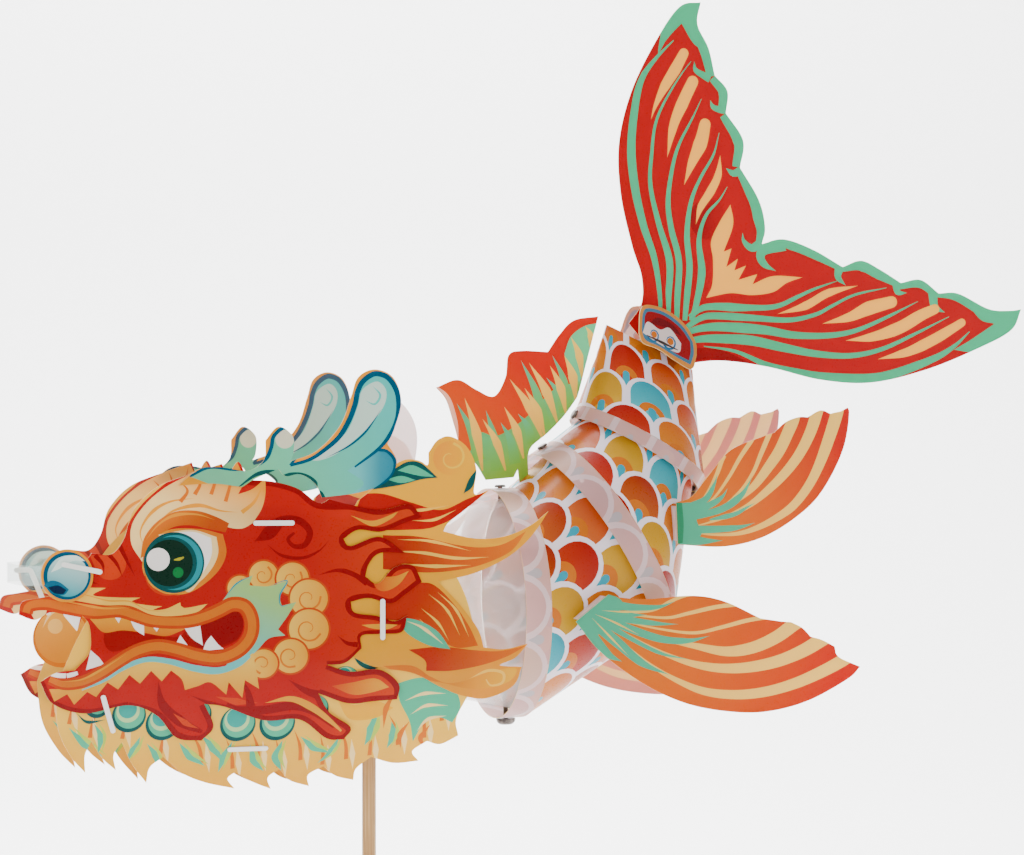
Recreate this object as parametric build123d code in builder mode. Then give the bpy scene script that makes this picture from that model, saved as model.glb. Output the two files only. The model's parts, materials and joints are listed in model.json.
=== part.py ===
"""Dragon-headed carp streamer: printed plastic sheets on a jointed tube body, carried on a wooden stick.

Millimetres. +Z is up, the fish faces -X and its left side is towards -Y. The origin is the centre of the
stick's lower end. Outlines are (x, z) points seen from the fish's left side, with z counted from the
centre of the neck.
"""

import math
import os

from build123d import *

# Stick
stick_diameter = 8.0
stick_spigot_diameter = 6.6
stick_shoulder_height = 308.0
stick_spigot_length = 144.0
stick_end_chamfer = 0.6
stick_cap_diameter = 13.0
stick_cap_height = 9.0
stick_cap_round = 3.0
spigot_clearance = 0.1

# Neck centre above the stick's lower end
neck_height = 390.0

# Sheets
sheet_thickness = 0.5
layer_pitch = 0.9
fin_thickness = 0.6

# Head: half width at the nose, growing towards the neck, and curling in below the jaw
nose_half_width = 30.0
flare_width = 39.0
head_front_x = -212.0
flare_start_x = -200.0
flare_length = 278.0
head_back_x = 96.0
head_top_z = 150.0
curl_start_z = -20.0
curl_height = 85.0
keel_half_width = 5.0
cheek_stations = 5

# Body rings: centre, tilt and outer radius of the frosted hoop at each joint
neck_ring_x, neck_ring_z, neck_ring_tilt, neck_radius = 80.5, 1.5, 1.5, 66.5
waist_ring_x, waist_ring_z, waist_ring_tilt, waist_radius = 138.5, 35.5, 31.0, 65.0
stem_ring_x, stem_ring_z, stem_ring_tilt, stem_radius = 162.0, 88.5, 59.5, 43.0
tail_ring_x, tail_ring_z, tail_ring_tilt = 171.0, 150.0, 64.0
tail_half_height, tail_half_width = 30.0, 3.2
neck_hoop_width = 15.0
waist_hoop_width = 15.0
stem_hoop_width = 8.0
stem_hoop_shift = 2.0
rim_overlap = 4.0
stem_rim_overlap = 3.2
rim_clearance = 4.5
stem_rim_clearance = 5.5
seat_clearance = 0.3
sleeve_length = 46.0
sleeve_front_radius = 50.0

# Brads
brad_head_radius = 5.6
brad_head_height = 3.6
top_brad_head_radius = 3.2
top_brad_head_height = 1.4
brad_stem_radius = 1.4
brad_leg_radius = 4.6
brad_leg_thickness = 0.8
brad_clearance = 0.5
brad_hole_clearance = 0.1
brad_stand_off = 2.8
brad_dome_rim = 0.4
brad_hoop_fit = 0.02
brad_hole_depth = 14.0
brad_hole_length = 22.0

# Straps that carry the head on the stick
strap_width = 18.0
strap_thickness = 1.4
strap_bottom_z = -70.0
strap_top_z = 46.0
strap_gap = 1.0
strap_flange = 12.0
strap_side_gap = 2.2

# Lock tabs
tab_length = 23.0
tab_width = 2.8
tab_thickness = 0.6
tab_inner_length = 17.0
tab_stem_length = 9.0
tab_clearance = 0.35
tab_lift = 0.3
tab_inner_gap = 1.0
slit_depth = 3.0

# Nose band and pearl
nose_disc_x, nose_disc_z, nose_disc_radius = -181.0, 22.0, 14.5
nose_band_height = 11.0
nose_bridge_x = -205.0
nose_disc_half_width = 35.5
pearl_x, pearl_z, pearl_radius = -177.0, -14.0, 16.5
hanger_top = (-195.0, 24.0)
hanger_foot = (-185.0, 0.0)
hanger_width = 2.8
hanger_bend = 2.0
nose_strip_reach = 32.0
nose_tab_x, nose_tab_z, nose_tab_turn = -173.0, 26.0, -12.0

# Fins
dorsal_lift = 1.6
pectoral_half_width = 71.0
pelvic_half_width = 53.0
pectoral_hinge = ((100.5, -6), (120, 9))
pelvic_hinge = ((168.5, 36), (167.5, 60))
pectoral_root_depth = 13.0
pelvic_root_depth = 11.0
root_end_gap = 2.0
clasp_tilt = 27.0
clasp_edge_half_width = 5.2
clasp_thickness = 0.8
tail_hinge_x, tail_hinge_z, tail_hinge_slope = 180.0, 156.0, -42.0
clasp_reach = 9.0

side_depth = 130.0


def half_width(x):
    """Distance of the cheek surface from the middle plane above the jaw."""
    return nose_half_width + flare_width * ((x - flare_start_x) / flare_length) ** 2


def cheek_y(x, z):
    """Distance of the cheek surface from the middle plane at any height."""
    drop = min(max((curl_start_z - z) / curl_height, 0.0), 1.0)
    return keel_half_width + (half_width(x) - keel_half_width) * (1 - drop**2)


def draw_outline(runs):
    """Closed outline: every run is one smooth curve, and runs meet at corners."""
    for run, following in zip(runs, runs[1:] + runs[:1]):
        points = [*run, following[0]]
        if len(points) == 2:
            Line(*points)
        else:
            Spline(*points)


def ring_plane(x, z, tilt, shift=0.0):
    """Plane across the body: local y is down along the brads, local x is the fish's left."""
    along = Vector(math.cos(math.radians(tilt)), 0, math.sin(math.radians(tilt)))
    origin = Vector(x, 0, neck_height + z) + along * shift
    return Plane(origin=origin, x_dir=(0, -1, 0), z_dir=along)


def side_plane(y):
    """Plane parallel to the fish's middle plane, seen from its left, origin level with the neck."""
    return Plane(origin=(0, y, neck_height), x_dir=(1, 0, 0), z_dir=(0, -1, 0))


def cheek_shell(layer):
    """One thickness of sheet on the left cheek surface, before its outline is cut."""
    inside = layer * layer_pitch
    with BuildPart() as shell:
        for station in range(cheek_stations):
            x = head_front_x + (head_back_x - head_front_x) * station / (cheek_stations - 1)
            with BuildSketch(Plane(origin=(x, 0, neck_height), x_dir=(0, -1, 0), z_dir=(-1, 0, 0))):
                with BuildLine():
                    low_z = curl_start_z - curl_height
                    near = half_width(x) + inside
                    far = near + sheet_thickness
                    near_keel = keel_half_width + inside
                    far_keel = near_keel + sheet_thickness
                    Line((near, head_top_z), (near, curl_start_z))
                    Bezier((near, curl_start_z), (near, curl_start_z - curl_height / 2), (near_keel, low_z))
                    Line((near_keel, low_z), (far_keel, low_z))
                    Bezier((far_keel, low_z), (far, curl_start_z - curl_height / 2), (far, curl_start_z))
                    Line((far, curl_start_z), (far, head_top_z))
                    Line((far, head_top_z), (near, head_top_z))
                make_face()
        loft()
    return shell.part


def cut_sheet(shell, runs):
    """Left-hand sheet: the cheek shell inside a side outline."""
    with BuildPart() as sheet:
        add(shell)
        with BuildSketch(side_plane(-1.0)):
            with BuildLine():
                draw_outline(runs)
            make_face()
        extrude(amount=side_depth, mode=Mode.INTERSECT)
    return sheet.part


def tube_shell(front, back, front_size, back_size, thickness):
    """Thin ruled tube between two ring planes. A size is (half height, half width) outside."""
    with BuildPart() as tube:
        for plane, size in ((front, front_size), (back, back_size)):
            with BuildSketch(plane):
                Ellipse(size[1], size[0])
        loft(ruled=True)
        for plane, size in ((front, front_size), (back, back_size)):
            with BuildSketch(plane):
                Ellipse(size[1] - thickness, size[0] - thickness)
        loft(ruled=True, mode=Mode.SUBTRACT)
    return tube.part


def hoop_shell(ring, radius, width, shift=0.0):
    """Frosted hoop about its ring plane, or moved back from it by a shift."""
    with BuildPart() as hoop:
        with BuildSketch(ring_plane(*ring, shift - width / 2)):
            Circle(radius)
            Circle(radius - sheet_thickness, mode=Mode.SUBTRACT)
        extrude(amount=width)
    return hoop.part


def brad(ring, radius, up, inner_radius):
    """Paper fastener on a ring's hinge line: head outside, stem, and spread legs inside.

    The lower one has a large dome, the upper one a small flat head.
    """
    plane = ring_plane(*ring)
    head_radius = top_brad_head_radius if up > 0 else brad_head_radius
    head_height = top_brad_head_height if up > 0 else brad_head_height
    outward = plane.y_dir * -up
    seat = Plane(origin=plane.origin + outward * (radius + brad_clearance), x_dir=(0, 1, 0), z_dir=outward)
    legs_depth = radius - inner_radius + brad_clearance + brad_stand_off + brad_leg_thickness
    with BuildPart() as fastener:
        with BuildSketch(seat):
            Circle(head_radius)
        extrude(amount=head_height)
        fillet(fastener.faces().sort_by(Axis(seat.origin, outward))[-1].edges(), head_height - brad_dome_rim)
        with BuildSketch(seat):
            Circle(brad_stem_radius)
        extrude(amount=-legs_depth)
        with BuildSketch(seat.offset(-legs_depth)):
            SlotOverall(2 * brad_leg_radius, 2 * brad_stem_radius)
        extrude(amount=brad_leg_thickness)
    return fastener.part


def brad_hole(ring, radius, clearance):
    """Pins along a ring's hinge line, to be cut from the sheets that the brads pass."""
    plane = ring_plane(*ring)
    with BuildPart() as pin:
        for up in (1, -1):
            outward = plane.y_dir * up
            start = plane.origin + outward * (radius - brad_hole_depth)
            with BuildSketch(Plane(origin=start, x_dir=(0, 1, 0), z_dir=outward)):
                Circle(brad_stem_radius + clearance)
            extrude(amount=brad_hole_length)
    return pin.part


def cheek_plane(x, z, angle):
    """Plane resting on the left cheek surface; local x runs along the tab."""
    step = 0.5
    slope_x = (cheek_y(x + step, z) - cheek_y(x - step, z)) / (2 * step)
    slope_z = (cheek_y(x, z + step) - cheek_y(x, z - step)) / (2 * step)
    normal = Vector(-slope_x, -1, -slope_z).normalized()
    turn = math.radians(angle)
    along = Vector(math.cos(turn), 0, math.sin(turn))
    along = along - normal * along.dot(normal)
    origin = Vector(x, -cheek_y(x, z), neck_height + z)
    return Plane(origin=origin, x_dir=along, z_dir=normal)


def tab_solid(plane, outside, inside, grow=0.0, stem_only=False):
    """Lock tab: a bar outside, a stem through the slit and a bar inside."""
    with BuildPart() as tab:
        with BuildSketch(plane.offset(-inside - tab_thickness)):
            Rectangle(tab_stem_length + 2 * grow, tab_thickness + 2 * grow)
        extrude(amount=outside + inside + 2 * tab_thickness)
        if not stem_only:
            with BuildSketch(plane.offset(outside)):
                SlotOverall(tab_length, tab_width)
            extrude(amount=tab_thickness)
            with BuildSketch(plane.offset(-inside - tab_thickness)):
                SlotOverall(tab_inner_length, tab_width)
            extrude(amount=tab_thickness)
    return tab.part


def mirrored(solid):
    """The same piece on the fish's right side."""
    with BuildPart() as other:
        add(solid)
        mirror(about=Plane.XZ, mode=Mode.REPLACE)
    return other.part


def hand_in(solid, name):
    """Labels one finished piece and writes it."""
    solid.label = name
    export_step(solid, f"parts/{name}.step")


os.makedirs("parts", exist_ok=True)

neck_ring = (neck_ring_x, neck_ring_z, neck_ring_tilt)
waist_ring = (waist_ring_x, waist_ring_z, waist_ring_tilt)
stem_ring = (stem_ring_x, stem_ring_z, stem_ring_tilt)

# ---------------------------------------------------------------- stick
with BuildPart() as stick:
    with BuildSketch(Plane.XY):
        Circle(stick_diameter / 2)
    extrude(amount=stick_shoulder_height)
    with BuildSketch(Plane.XY.offset(stick_shoulder_height)):
        Circle(stick_spigot_diameter / 2)
    extrude(amount=stick_spigot_length)
    chamfer(stick.faces().sort_by(Axis.Z)[-1].edges(), stick_end_chamfer)
hand_in(stick.part, "stick")

cap_seat = neck_height + strap_top_z + strap_thickness + strap_gap
with BuildPart() as stick_cap:
    with BuildSketch(Plane.XY.offset(cap_seat)):
        Circle(stick_cap_diameter / 2)
    extrude(amount=stick_cap_height)
    fillet(stick_cap.faces().sort_by(Axis.Z)[-1].edges(), stick_cap_round)
    with BuildSketch(Plane.XY.offset(cap_seat)):
        Circle(stick_spigot_diameter / 2)
    extrude(amount=stick_cap_height, mode=Mode.SUBTRACT)
hand_in(stick_cap.part, "stick_cap")

# ---------------------------------------------------------------- straps
for strap_name, strap_z, flange_up in (("strap_bottom", strap_bottom_z, 1), ("strap_top", strap_top_z, -1)):
    flange_z = strap_z + flange_up * strap_flange
    reach = min(cheek_y(-strap_width / 2, strap_z), cheek_y(-strap_width / 2, flange_z)) - strap_side_gap
    with BuildPart() as strap:
        with BuildSketch(Plane.XY.offset(neck_height + strap_z)):
            Rectangle(strap_width, 2 * reach)
            Circle(stick_spigot_diameter / 2 + spigot_clearance, mode=Mode.SUBTRACT)
        extrude(amount=strap_thickness)
        for side in (-1, 1):
            edge_y = side * (reach - strap_thickness / 2)
            low_z = min(strap_z, flange_z)
            with BuildSketch(Plane.XY.offset(neck_height + low_z)):
                with Locations((0, edge_y)):
                    Rectangle(strap_width, strap_thickness)
            extrude(amount=strap_flange + strap_thickness)
    hand_in(strap.part, strap_name)

# ---------------------------------------------------------------- head sheets
mane_outline = [
    [(-186, -40), (-184, -62), (-176, -78)],
    [(-167, -88), (-168, -78)],
    [(-165, -70), (-158, -80)],
    [(-150, -87), (-152, -78)],
    [(-148, -71), (-141, -84)],
    [(-132, -95), (-131, -86)],
    [(-124, -80), (-112, -90), (-98, -96)],
    [(-81, -100), (-86, -94)],
    [(-82, -90), (-72, -96)],
    [(-60, -101), (-63, -94)],
    [(-57, -89), (-50, -96)],
    [(-38, -100), (-40, -93)],
    [(-32, -88), (-24, -94)],
    [(-13, -97), (-13, -90)],
    [(-6, -83), (8, -87)],
    [(22, -86), (17, -80)],
    [(24, -74), (32, -76)],
    [(41, -71), (38, -60), (44, -40), (44, -10), (34, 20), (10, 44), (-30, 54)],
    [(-70, 62), (-110, 58), (-140, 40), (-160, 12), (-176, -16)],
]
flame_outline = [
    [(-20, 62), (0, 74), (18, 76)],
    [(22, 82), (18, 90), (28, 97), (41, 91), (45, 78), (44, 66)],
    [(52, 68), (40, 58), (30, 50)],
    [(27, 45), (44, 41), (60, 42), (74, 48)],
    [(84, 56), (77, 45), (69, 36), (58, 28), (42, 21)],
    [(24, 17), (36, 4), (46, -10)],
    [(49, -20), (60, -21)],
    [(73, -18), (66, -26), (58, -30)],
    [(70, -31), (66, -42), (52, -49), (38, -47)],
    [(26, -42), (10, -34), (-12, -30)],
    [(-30, -20), (-34, 10), (-30, 40)],
]
face_outline = [
    [(-207, 1), (-205, 8), (-195, 10), (-176, 14), (-172, 26)],
    [(-167, 34), (-156, 33.5), (-149, 42), (-144, 57), (-131, 70), (-110, 78)],
    [(-95, 83), (-93, 77)],
    [(-92, 75), (-86, 84)],
    [(-81, 74), (-67, 73), (-53, 69), (-42, 61)],
    [(-36, 63), (-24, 60), (-8, 57), (8, 60)],
    [(15, 53), (6, 50), (-7, 45), (-20, 46)],
    [(-28, 41), (-24, 37), (-8, 42)],
    [(6, 33), (-8, 33), (-14, 27)],
    [(-16, 20), (-9, 16), (0, 25), (10, 26)],
    [(15, 17), (6, 10), (-2, 5), (-14, 8)],
    [(-24, 6), (-22, 0), (-10, -2), (0, -5)],
    [(7, -2), (4, -11), (-8, -12), (-18, -13)],
    [(-18, -20), (-27, -28)],
    [(-37, -29), (-24, -33), (-8, -32), (3, -40)],
    [(3, -49), (-10, -50), (-24, -51)],
    [(-41, -45), (-34, -56), (-21, -65)],
    [(-24, -72), (-34, -71), (-50, -60), (-70, -60), (-92, -52)],
    [(-104, -50), (-98, -63)],
    [(-104, -71), (-118, -69), (-130, -56), (-146, -50), (-170, -54), (-188, -48)],
    [(-195, -36), (-186, -31)],
    [(-176, -30), (-168, -20), (-168, -6)],
    [(-172, 0)],
    [(-175, -8.5)],
    [(-183, 1), (-190, 2), (-198, -2)],
]
horn_outline = [
    [(-119, 71), (-108, 80), (-96, 81), (-81, 79), (-72, 85)],
    [(-71, 96), (-64, 103.5), (-56, 98), (-56, 88)],
    [(-58, 84), (-43, 90), (-30, 104), (-24, 120), (-20, 131), (-11, 135.4), (-1, 131), (3.5, 118), (0, 103)],
    [(-4, 94), (1, 84), (-4, 73), (-19, 67)],
    [(-40, 64), (-44, 72), (-52, 77), (-60, 76)],
    [(-64, 80), (-76, 75)],
    [(-84, 70), (-100, 72)],
]

mane_shell = cheek_shell(0)
flame_shell = cheek_shell(1)
face_shell = cheek_shell(2)
horn_shell = cheek_shell(3)

face_outside = 2 * layer_pitch + sheet_thickness + tab_lift
mane_outside = sheet_thickness + tab_lift
# x, z, direction, how far out the bar lies
head_tabs = [
    (-157, -54, -73, face_outside),
    (-77, -76, 3, mane_outside),
    (-66, 50, 0, face_outside),
    (-6, -4, 90, face_outside),
]
with BuildPart() as slits:
    for tab_x, tab_z, tab_angle, tab_outside in head_tabs:
        add(tab_solid(cheek_plane(tab_x, tab_z, tab_angle), tab_outside, slit_depth, tab_clearance, True))
with BuildPart() as lock_tabs:
    for tab_x, tab_z, tab_angle, tab_outside in head_tabs:
        add(tab_solid(cheek_plane(tab_x, tab_z, tab_angle), tab_outside, tab_inner_gap))

for sheet_name, sheet_shell, sheet_runs in (
    ("mane", mane_shell, mane_outline),
    ("flame", flame_shell, flame_outline),
    ("face", face_shell, face_outline),
    ("horn", horn_shell, horn_outline),
):
    with BuildPart() as left_sheet:
        add(cut_sheet(sheet_shell, sheet_runs))
        add(slits.part, mode=Mode.SUBTRACT)
    hand_in(mirrored(left_sheet.part), f"{sheet_name}_right")
    hand_in(left_sheet.part, f"{sheet_name}_left")

hand_in(mirrored(lock_tabs.part), "lock_tabs_right")
hand_in(lock_tabs.part, "lock_tabs_left")

# Nose band: a disc on each side and a strip that bends round the front
with BuildPart() as nose_band:
    with BuildSketch(Plane.XY.offset(neck_height + nose_disc_z - nose_disc_radius)):
        for shrink, band_mode in ((0.0, Mode.ADD), (sheet_thickness, Mode.SUBTRACT)):
            rear_x = nose_disc_x + nose_disc_radius
            band_y = nose_disc_half_width - shrink
            front_x = nose_bridge_x + shrink
            with BuildLine():
                Line((rear_x, band_y), (nose_disc_x, band_y))
                Spline(
                    (nose_disc_x, band_y),
                    (front_x, 0),
                    (nose_disc_x, -band_y),
                    tangents=((-1, 0), (1, 0)),
                )
                Line((nose_disc_x, -band_y), (rear_x, -band_y))
                Line((rear_x, -band_y), (rear_x, band_y))
            make_face(mode=band_mode)
    extrude(amount=2 * nose_disc_radius)
    with BuildSketch(side_plane(side_depth)):
        with Locations((nose_disc_x, nose_disc_z)):
            Circle(nose_disc_radius)
        with Locations((nose_disc_x - nose_strip_reach / 2, nose_disc_z)):
            Rectangle(nose_strip_reach, nose_band_height)
    extrude(amount=2 * side_depth, mode=Mode.INTERSECT)
hand_in(nose_band.part, "nose_band")

# Pearl: one disc on the middle plane, hung from the nose band by a bent strip
with BuildPart() as pearl:
    with BuildSketch(side_plane(fin_thickness / 2)):
        with Locations((pearl_x, pearl_z)):
            Circle(pearl_radius)
    extrude(amount=fin_thickness)
hand_in(pearl.part, "pearl")

with BuildPart() as pearl_hanger:
    with BuildSketch(side_plane(-fin_thickness / 2 - seat_clearance)):
        with BuildLine():
            FilletPolyline(
                (nose_bridge_x + sheet_thickness + seat_clearance + hanger_width / 2, hanger_top[1]),
                hanger_top,
                hanger_foot,
                radius=hanger_bend,
            )
            offset(amount=hanger_width / 2, side=Side.BOTH)
        make_face()
    extrude(amount=tab_thickness)
hand_in(pearl_hanger.part, "pearl_hanger")

# Nose tabs: white strips over each nose disc
with BuildPart() as nose_tabs:
    for side in (-1, 1):
        tab_y = side * (nose_disc_half_width + sheet_thickness / 2 + tab_lift)
        with BuildSketch(side_plane(tab_y + (tab_thickness if side > 0 else 0))):
            with Locations(Location((nose_tab_x, nose_tab_z, 0), (0, 0, nose_tab_turn))):
                SlotOverall(tab_length, tab_width)
        extrude(amount=tab_thickness)
hand_in(nose_tabs.part, "nose_tabs")

# Crest tongue: a rounded frosted plate that stands behind the horns on the middle plane
with BuildPart() as crest_tongue:
    with BuildSketch(side_plane(fin_thickness / 2)):
        with BuildLine():
            draw_outline([[(8, 70), (3, 88), (4, 106), (14, 119), (26, 108), (28, 88)], [(24, 70)]])
        make_face()
    extrude(amount=fin_thickness)
hand_in(crest_tongue.part, "crest_tongue")

# ---------------------------------------------------------------- neck sleeve
sleeve_rim_radius = neck_radius - sheet_thickness - rim_clearance
neck_pins = brad_hole(neck_ring, neck_radius, brad_hole_clearance)
waist_pins = brad_hole(waist_ring, waist_radius, brad_hole_clearance)
stem_pins = brad_hole(stem_ring, stem_radius, brad_hole_clearance)
with BuildPart() as neck_sleeve:
    add(
        tube_shell(
            ring_plane(*neck_ring, -sleeve_length),
            ring_plane(*neck_ring, rim_overlap),
            (sleeve_front_radius, sleeve_front_radius),
            (sleeve_rim_radius, sleeve_rim_radius),
            sheet_thickness,
        )
    )
    add(neck_pins, mode=Mode.SUBTRACT)
hand_in(neck_sleeve.part, "neck_sleeve")

# ---------------------------------------------------------------- body shells and hoops
for name, ring, radius, clearance, width, shift in (
    ("neck", neck_ring, neck_radius, rim_clearance, neck_hoop_width, 0.0),
    ("waist", waist_ring, waist_radius, rim_clearance, waist_hoop_width, 0.0),
    ("stem", stem_ring, stem_radius, stem_rim_clearance, stem_hoop_width, stem_hoop_shift),
):
    with BuildPart() as hoop:
        add(hoop_shell(ring, radius, width, shift))
        add(brad_hole(ring, radius, brad_hoop_fit), mode=Mode.SUBTRACT)
    hand_in(hoop.part, f"{name}_hoop")
    rim_inside = radius - sheet_thickness - clearance - sheet_thickness
    with BuildPart() as brads:
        for up in (1, -1):
            add(brad(ring, radius, up, rim_inside))
    hand_in(brads.part, f"{name}_brads")


def body_shell(front_ring, front_radius, front_width, back_ring, back_size, overlap, pins):
    """Printed tube from behind one hoop to just inside the next."""
    front_size = front_radius - seat_clearance
    with BuildPart() as shell:
        add(
            tube_shell(
                ring_plane(*front_ring, front_width / 2 + seat_clearance),
                ring_plane(*back_ring, overlap),
                (front_size, front_size),
                (back_size, back_size),
                sheet_thickness,
            )
        )
        add(pins, mode=Mode.SUBTRACT)
    return shell.part


waist_rim_radius = waist_radius - sheet_thickness - rim_clearance
stem_rim_radius = stem_radius - sheet_thickness - stem_rim_clearance
body_front = body_shell(
    neck_ring, neck_radius, neck_hoop_width, waist_ring, waist_rim_radius, rim_overlap, waist_pins
)
body_middle = body_shell(
    waist_ring, waist_radius, waist_hoop_width, stem_ring, stem_rim_radius, stem_rim_overlap, stem_pins
)
rear_size = stem_radius - seat_clearance
body_rear = tube_shell(
    ring_plane(*stem_ring, stem_hoop_shift + stem_hoop_width / 2 + seat_clearance),
    ring_plane(tail_ring_x, tail_ring_z, tail_ring_tilt),
    (rear_size, rear_size),
    (tail_half_height, tail_half_width),
    sheet_thickness,
)

# ---------------------------------------------------------------- dorsal fin
# The foot, from its rear upper corner round to the front, goes down through a slit in the body
dorsal_foot = [(95.5, 86), (96, 72), (91, 67.5), (89.5, 79)]
dorsal_outline = [
    [(70, 71 + dorsal_lift), (64, 82), (55, 92), (51, 104), (46, 119)],
    [(40, 126), (53, 130.5), (64, 125), (75, 121), (82, 132), (84, 145), (92, 147.5), (107, 147)],
    [(108, 147), (115, 157), (124, 165.5)],
    [(139, 168), (133, 146), (127, 124)],
    [(125.5, 120), (118, 108.5 + dorsal_lift), (108, 98.5 + dorsal_lift), (98, 90.5 + dorsal_lift)],
    *([point] for point in dorsal_foot),
    [(87, 72.5 + dorsal_lift)],
]
with BuildPart() as dorsal_fin:
    with BuildSketch(side_plane(fin_thickness / 2)):
        with BuildLine():
            draw_outline(dorsal_outline)
        make_face()
    extrude(amount=fin_thickness)
hand_in(dorsal_fin.part, "dorsal_fin")

# ---------------------------------------------------------------- side fins
pectoral_outline = [
    [pectoral_hinge[0]],
    [pectoral_hinge[1], (128, 7), (144, 6), (171, 7.5), (190, 4)],
    [(212, -6), (225, -8)],
    [(231, -8.5), (238, -12)],
    [(243, -17), (250, -19)],
    [(258, -23), (260.5, -29)],
    [(274, -35), (266, -42), (241, -54), (215, -59.5), (190, -58.5), (165, -53), (140.5, -41.5), (116, -24)],
]
pelvic_outline = [
    [pelvic_hinge[0], (168, 48)],
    [pelvic_hinge[1], (177, 63.5), (187, 75), (201, 90), (220, 97.5)],
    [(228, 100), (235, 106), (243, 109)],
    [(249, 109), (257, 113)],
    [(263, 111), (270, 112.5), (275, 113), (271, 90), (257, 65), (240, 50), (219, 39), (196, 34.5)],
]
for fin_name, fin_runs, fin_y in (
    ("pectoral_fin", pectoral_outline, pectoral_half_width),
    ("pelvic_fin", pelvic_outline, pelvic_half_width),
):
    with BuildPart() as side_fin:
        with BuildSketch(side_plane(-fin_y)):
            with BuildLine():
                draw_outline(fin_runs)
            make_face()
        extrude(amount=fin_thickness)
    hand_in(mirrored(side_fin.part), f"{fin_name}_right")
    hand_in(side_fin.part, f"{fin_name}_left")


def fin_root(points, fin_y, depth):
    """Folded root strip: a flat bar along the fold, standing in a slit of the body shell."""
    start, end = Vector(points[0][0], 0, points[0][1]), Vector(points[1][0], 0, points[1][1])
    along = (end - start).normalized()
    middle = (start + end) * 0.5
    origin = Vector(middle.X, -fin_y + fin_thickness + seat_clearance, neck_height + middle.Z)
    length = (end - start).length - 2 * root_end_gap
    return Plane(origin=origin, x_dir=along, z_dir=(0, 1, 0)), length, depth


def root_solid(root, grow=0.0):
    """The folded root strip's own shape, or its slit when it is grown."""
    plane, length, depth = root
    with BuildPart() as strip:
        with BuildSketch(plane):
            Rectangle(length + 2 * grow, tab_thickness + 2 * grow)
        extrude(amount=depth)
    return strip.part


pectoral_root = fin_root(pectoral_hinge, pectoral_half_width, pectoral_root_depth)
pelvic_root = fin_root(pelvic_hinge, pelvic_half_width, pelvic_root_depth)
for root_name, root in (("pectoral_roots", pectoral_root), ("pelvic_roots", pelvic_root)):
    strip = root_solid(root)
    with BuildPart() as roots:
        add(strip)
        add(mirrored(strip))
    hand_in(roots.part, root_name)

# Slit in the top of the front shell for the dorsal fin's foot
slit_width = fin_thickness + 2 * tab_clearance
with BuildPart() as dorsal_slit:
    with BuildSketch(side_plane(slit_width / 2)):
        with BuildLine():
            Polyline(*dorsal_foot, close=True)
        make_face()
        offset(amount=tab_clearance)
    extrude(amount=slit_width)

for shell_name, shell, root in (
    ("body_front", body_front, pectoral_root),
    ("body_middle", body_middle, pelvic_root),
):
    slit = root_solid(root, tab_clearance)
    with BuildPart() as slotted:
        add(shell)
        add(slit, mode=Mode.SUBTRACT)
        add(mirrored(slit), mode=Mode.SUBTRACT)
        if shell_name == "body_front":
            add(dorsal_slit.part, mode=Mode.SUBTRACT)
    hand_in(slotted.part, shell_name)
hand_in(body_rear, "body_rear")

# ---------------------------------------------------------------- tail
clasp_outline = [
    [(158, 158), (161, 171), (166, 174.5), (179, 172), (191, 164), (197.5, 153)],
    [(197, 145), (192, 137), (181, 142), (170, 148.5), (160, 152)],
]
hinge_turn = math.radians(tail_hinge_slope)
hinge_along = Vector(math.cos(hinge_turn), 0, math.sin(hinge_turn))
hinge_across = Vector(-math.sin(hinge_turn), 0, math.cos(hinge_turn))
clasp_turn = math.radians(clasp_tilt)
clasp_edge = Vector(tail_hinge_x, -clasp_edge_half_width, neck_height + tail_hinge_z) + hinge_across * clasp_reach
clasp_up = hinge_across * math.cos(clasp_turn) + Vector(0, 1, 0) * math.sin(clasp_turn)
clasp_plane = Plane(origin=clasp_edge, x_dir=hinge_along, z_dir=hinge_along.cross(clasp_up))


def on_clasp(point):
    """A side-view point carried onto the tilted clasp plate."""
    offset_x = point[0] - tail_hinge_x
    offset_z = point[1] - tail_hinge_z
    along = offset_x * hinge_along.X + offset_z * hinge_along.Z
    across = offset_x * hinge_across.X + offset_z * hinge_across.Z
    return (along, (across - clasp_reach) / math.cos(clasp_turn))


with BuildPart() as clasp_left:
    with BuildSketch(clasp_plane):
        with BuildLine():
            draw_outline([[on_clasp(point) for point in run] for run in clasp_outline])
        make_face()
    extrude(amount=clasp_thickness)
with BuildPart() as tail_clasp:
    add(clasp_left.part)
    add(mirrored(clasp_left.part))
hand_in(tail_clasp.part, "tail_clasp")

tail_outline = [
    [(158, 164), (166, 176), (166, 192), (160, 210), (153, 240), (152, 270), (160, 301), (176, 332), (190, 351)],
    [(203, 354), (201, 341), (208, 327)],
    [(212, 311), (220, 302)],
    [(219, 289), (230, 273)],
    [(228, 257), (240, 238), (244, 222)],
    [(242, 212), (256, 215), (275, 209)],
    [(294, 199), (306, 203), (318, 198)],
    [(332, 190), (345, 192)],
    [(357, 184), (370, 184), (390, 175), (404, 174)],
    [(412, 175), (405, 162), (382, 150.5), (349, 138), (313, 130), (280, 131.5), (246, 139), (217, 142.5)],
    [(196, 141), (188, 131)],
]
with BuildPart() as tail_fin:
    with BuildSketch(side_plane(fin_thickness / 2)):
        with BuildLine():
            draw_outline(tail_outline)
        make_face()
    extrude(amount=fin_thickness)
hand_in(tail_fin.part, "tail_fin")
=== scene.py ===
"""Dragon-headed carp streamer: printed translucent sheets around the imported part.

Drawings are in millimetres, (x, z) from the neck centre as seen from the fish's left. Each drawing is cut
into a flat triangle mesh along its own colour borders and then bent onto the sheet's surface.
"""

import json
import math

import bmesh
import bpy
import numpy as np
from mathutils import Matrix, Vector
from mathutils.geometry import delaunay_2d_cdt


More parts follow.
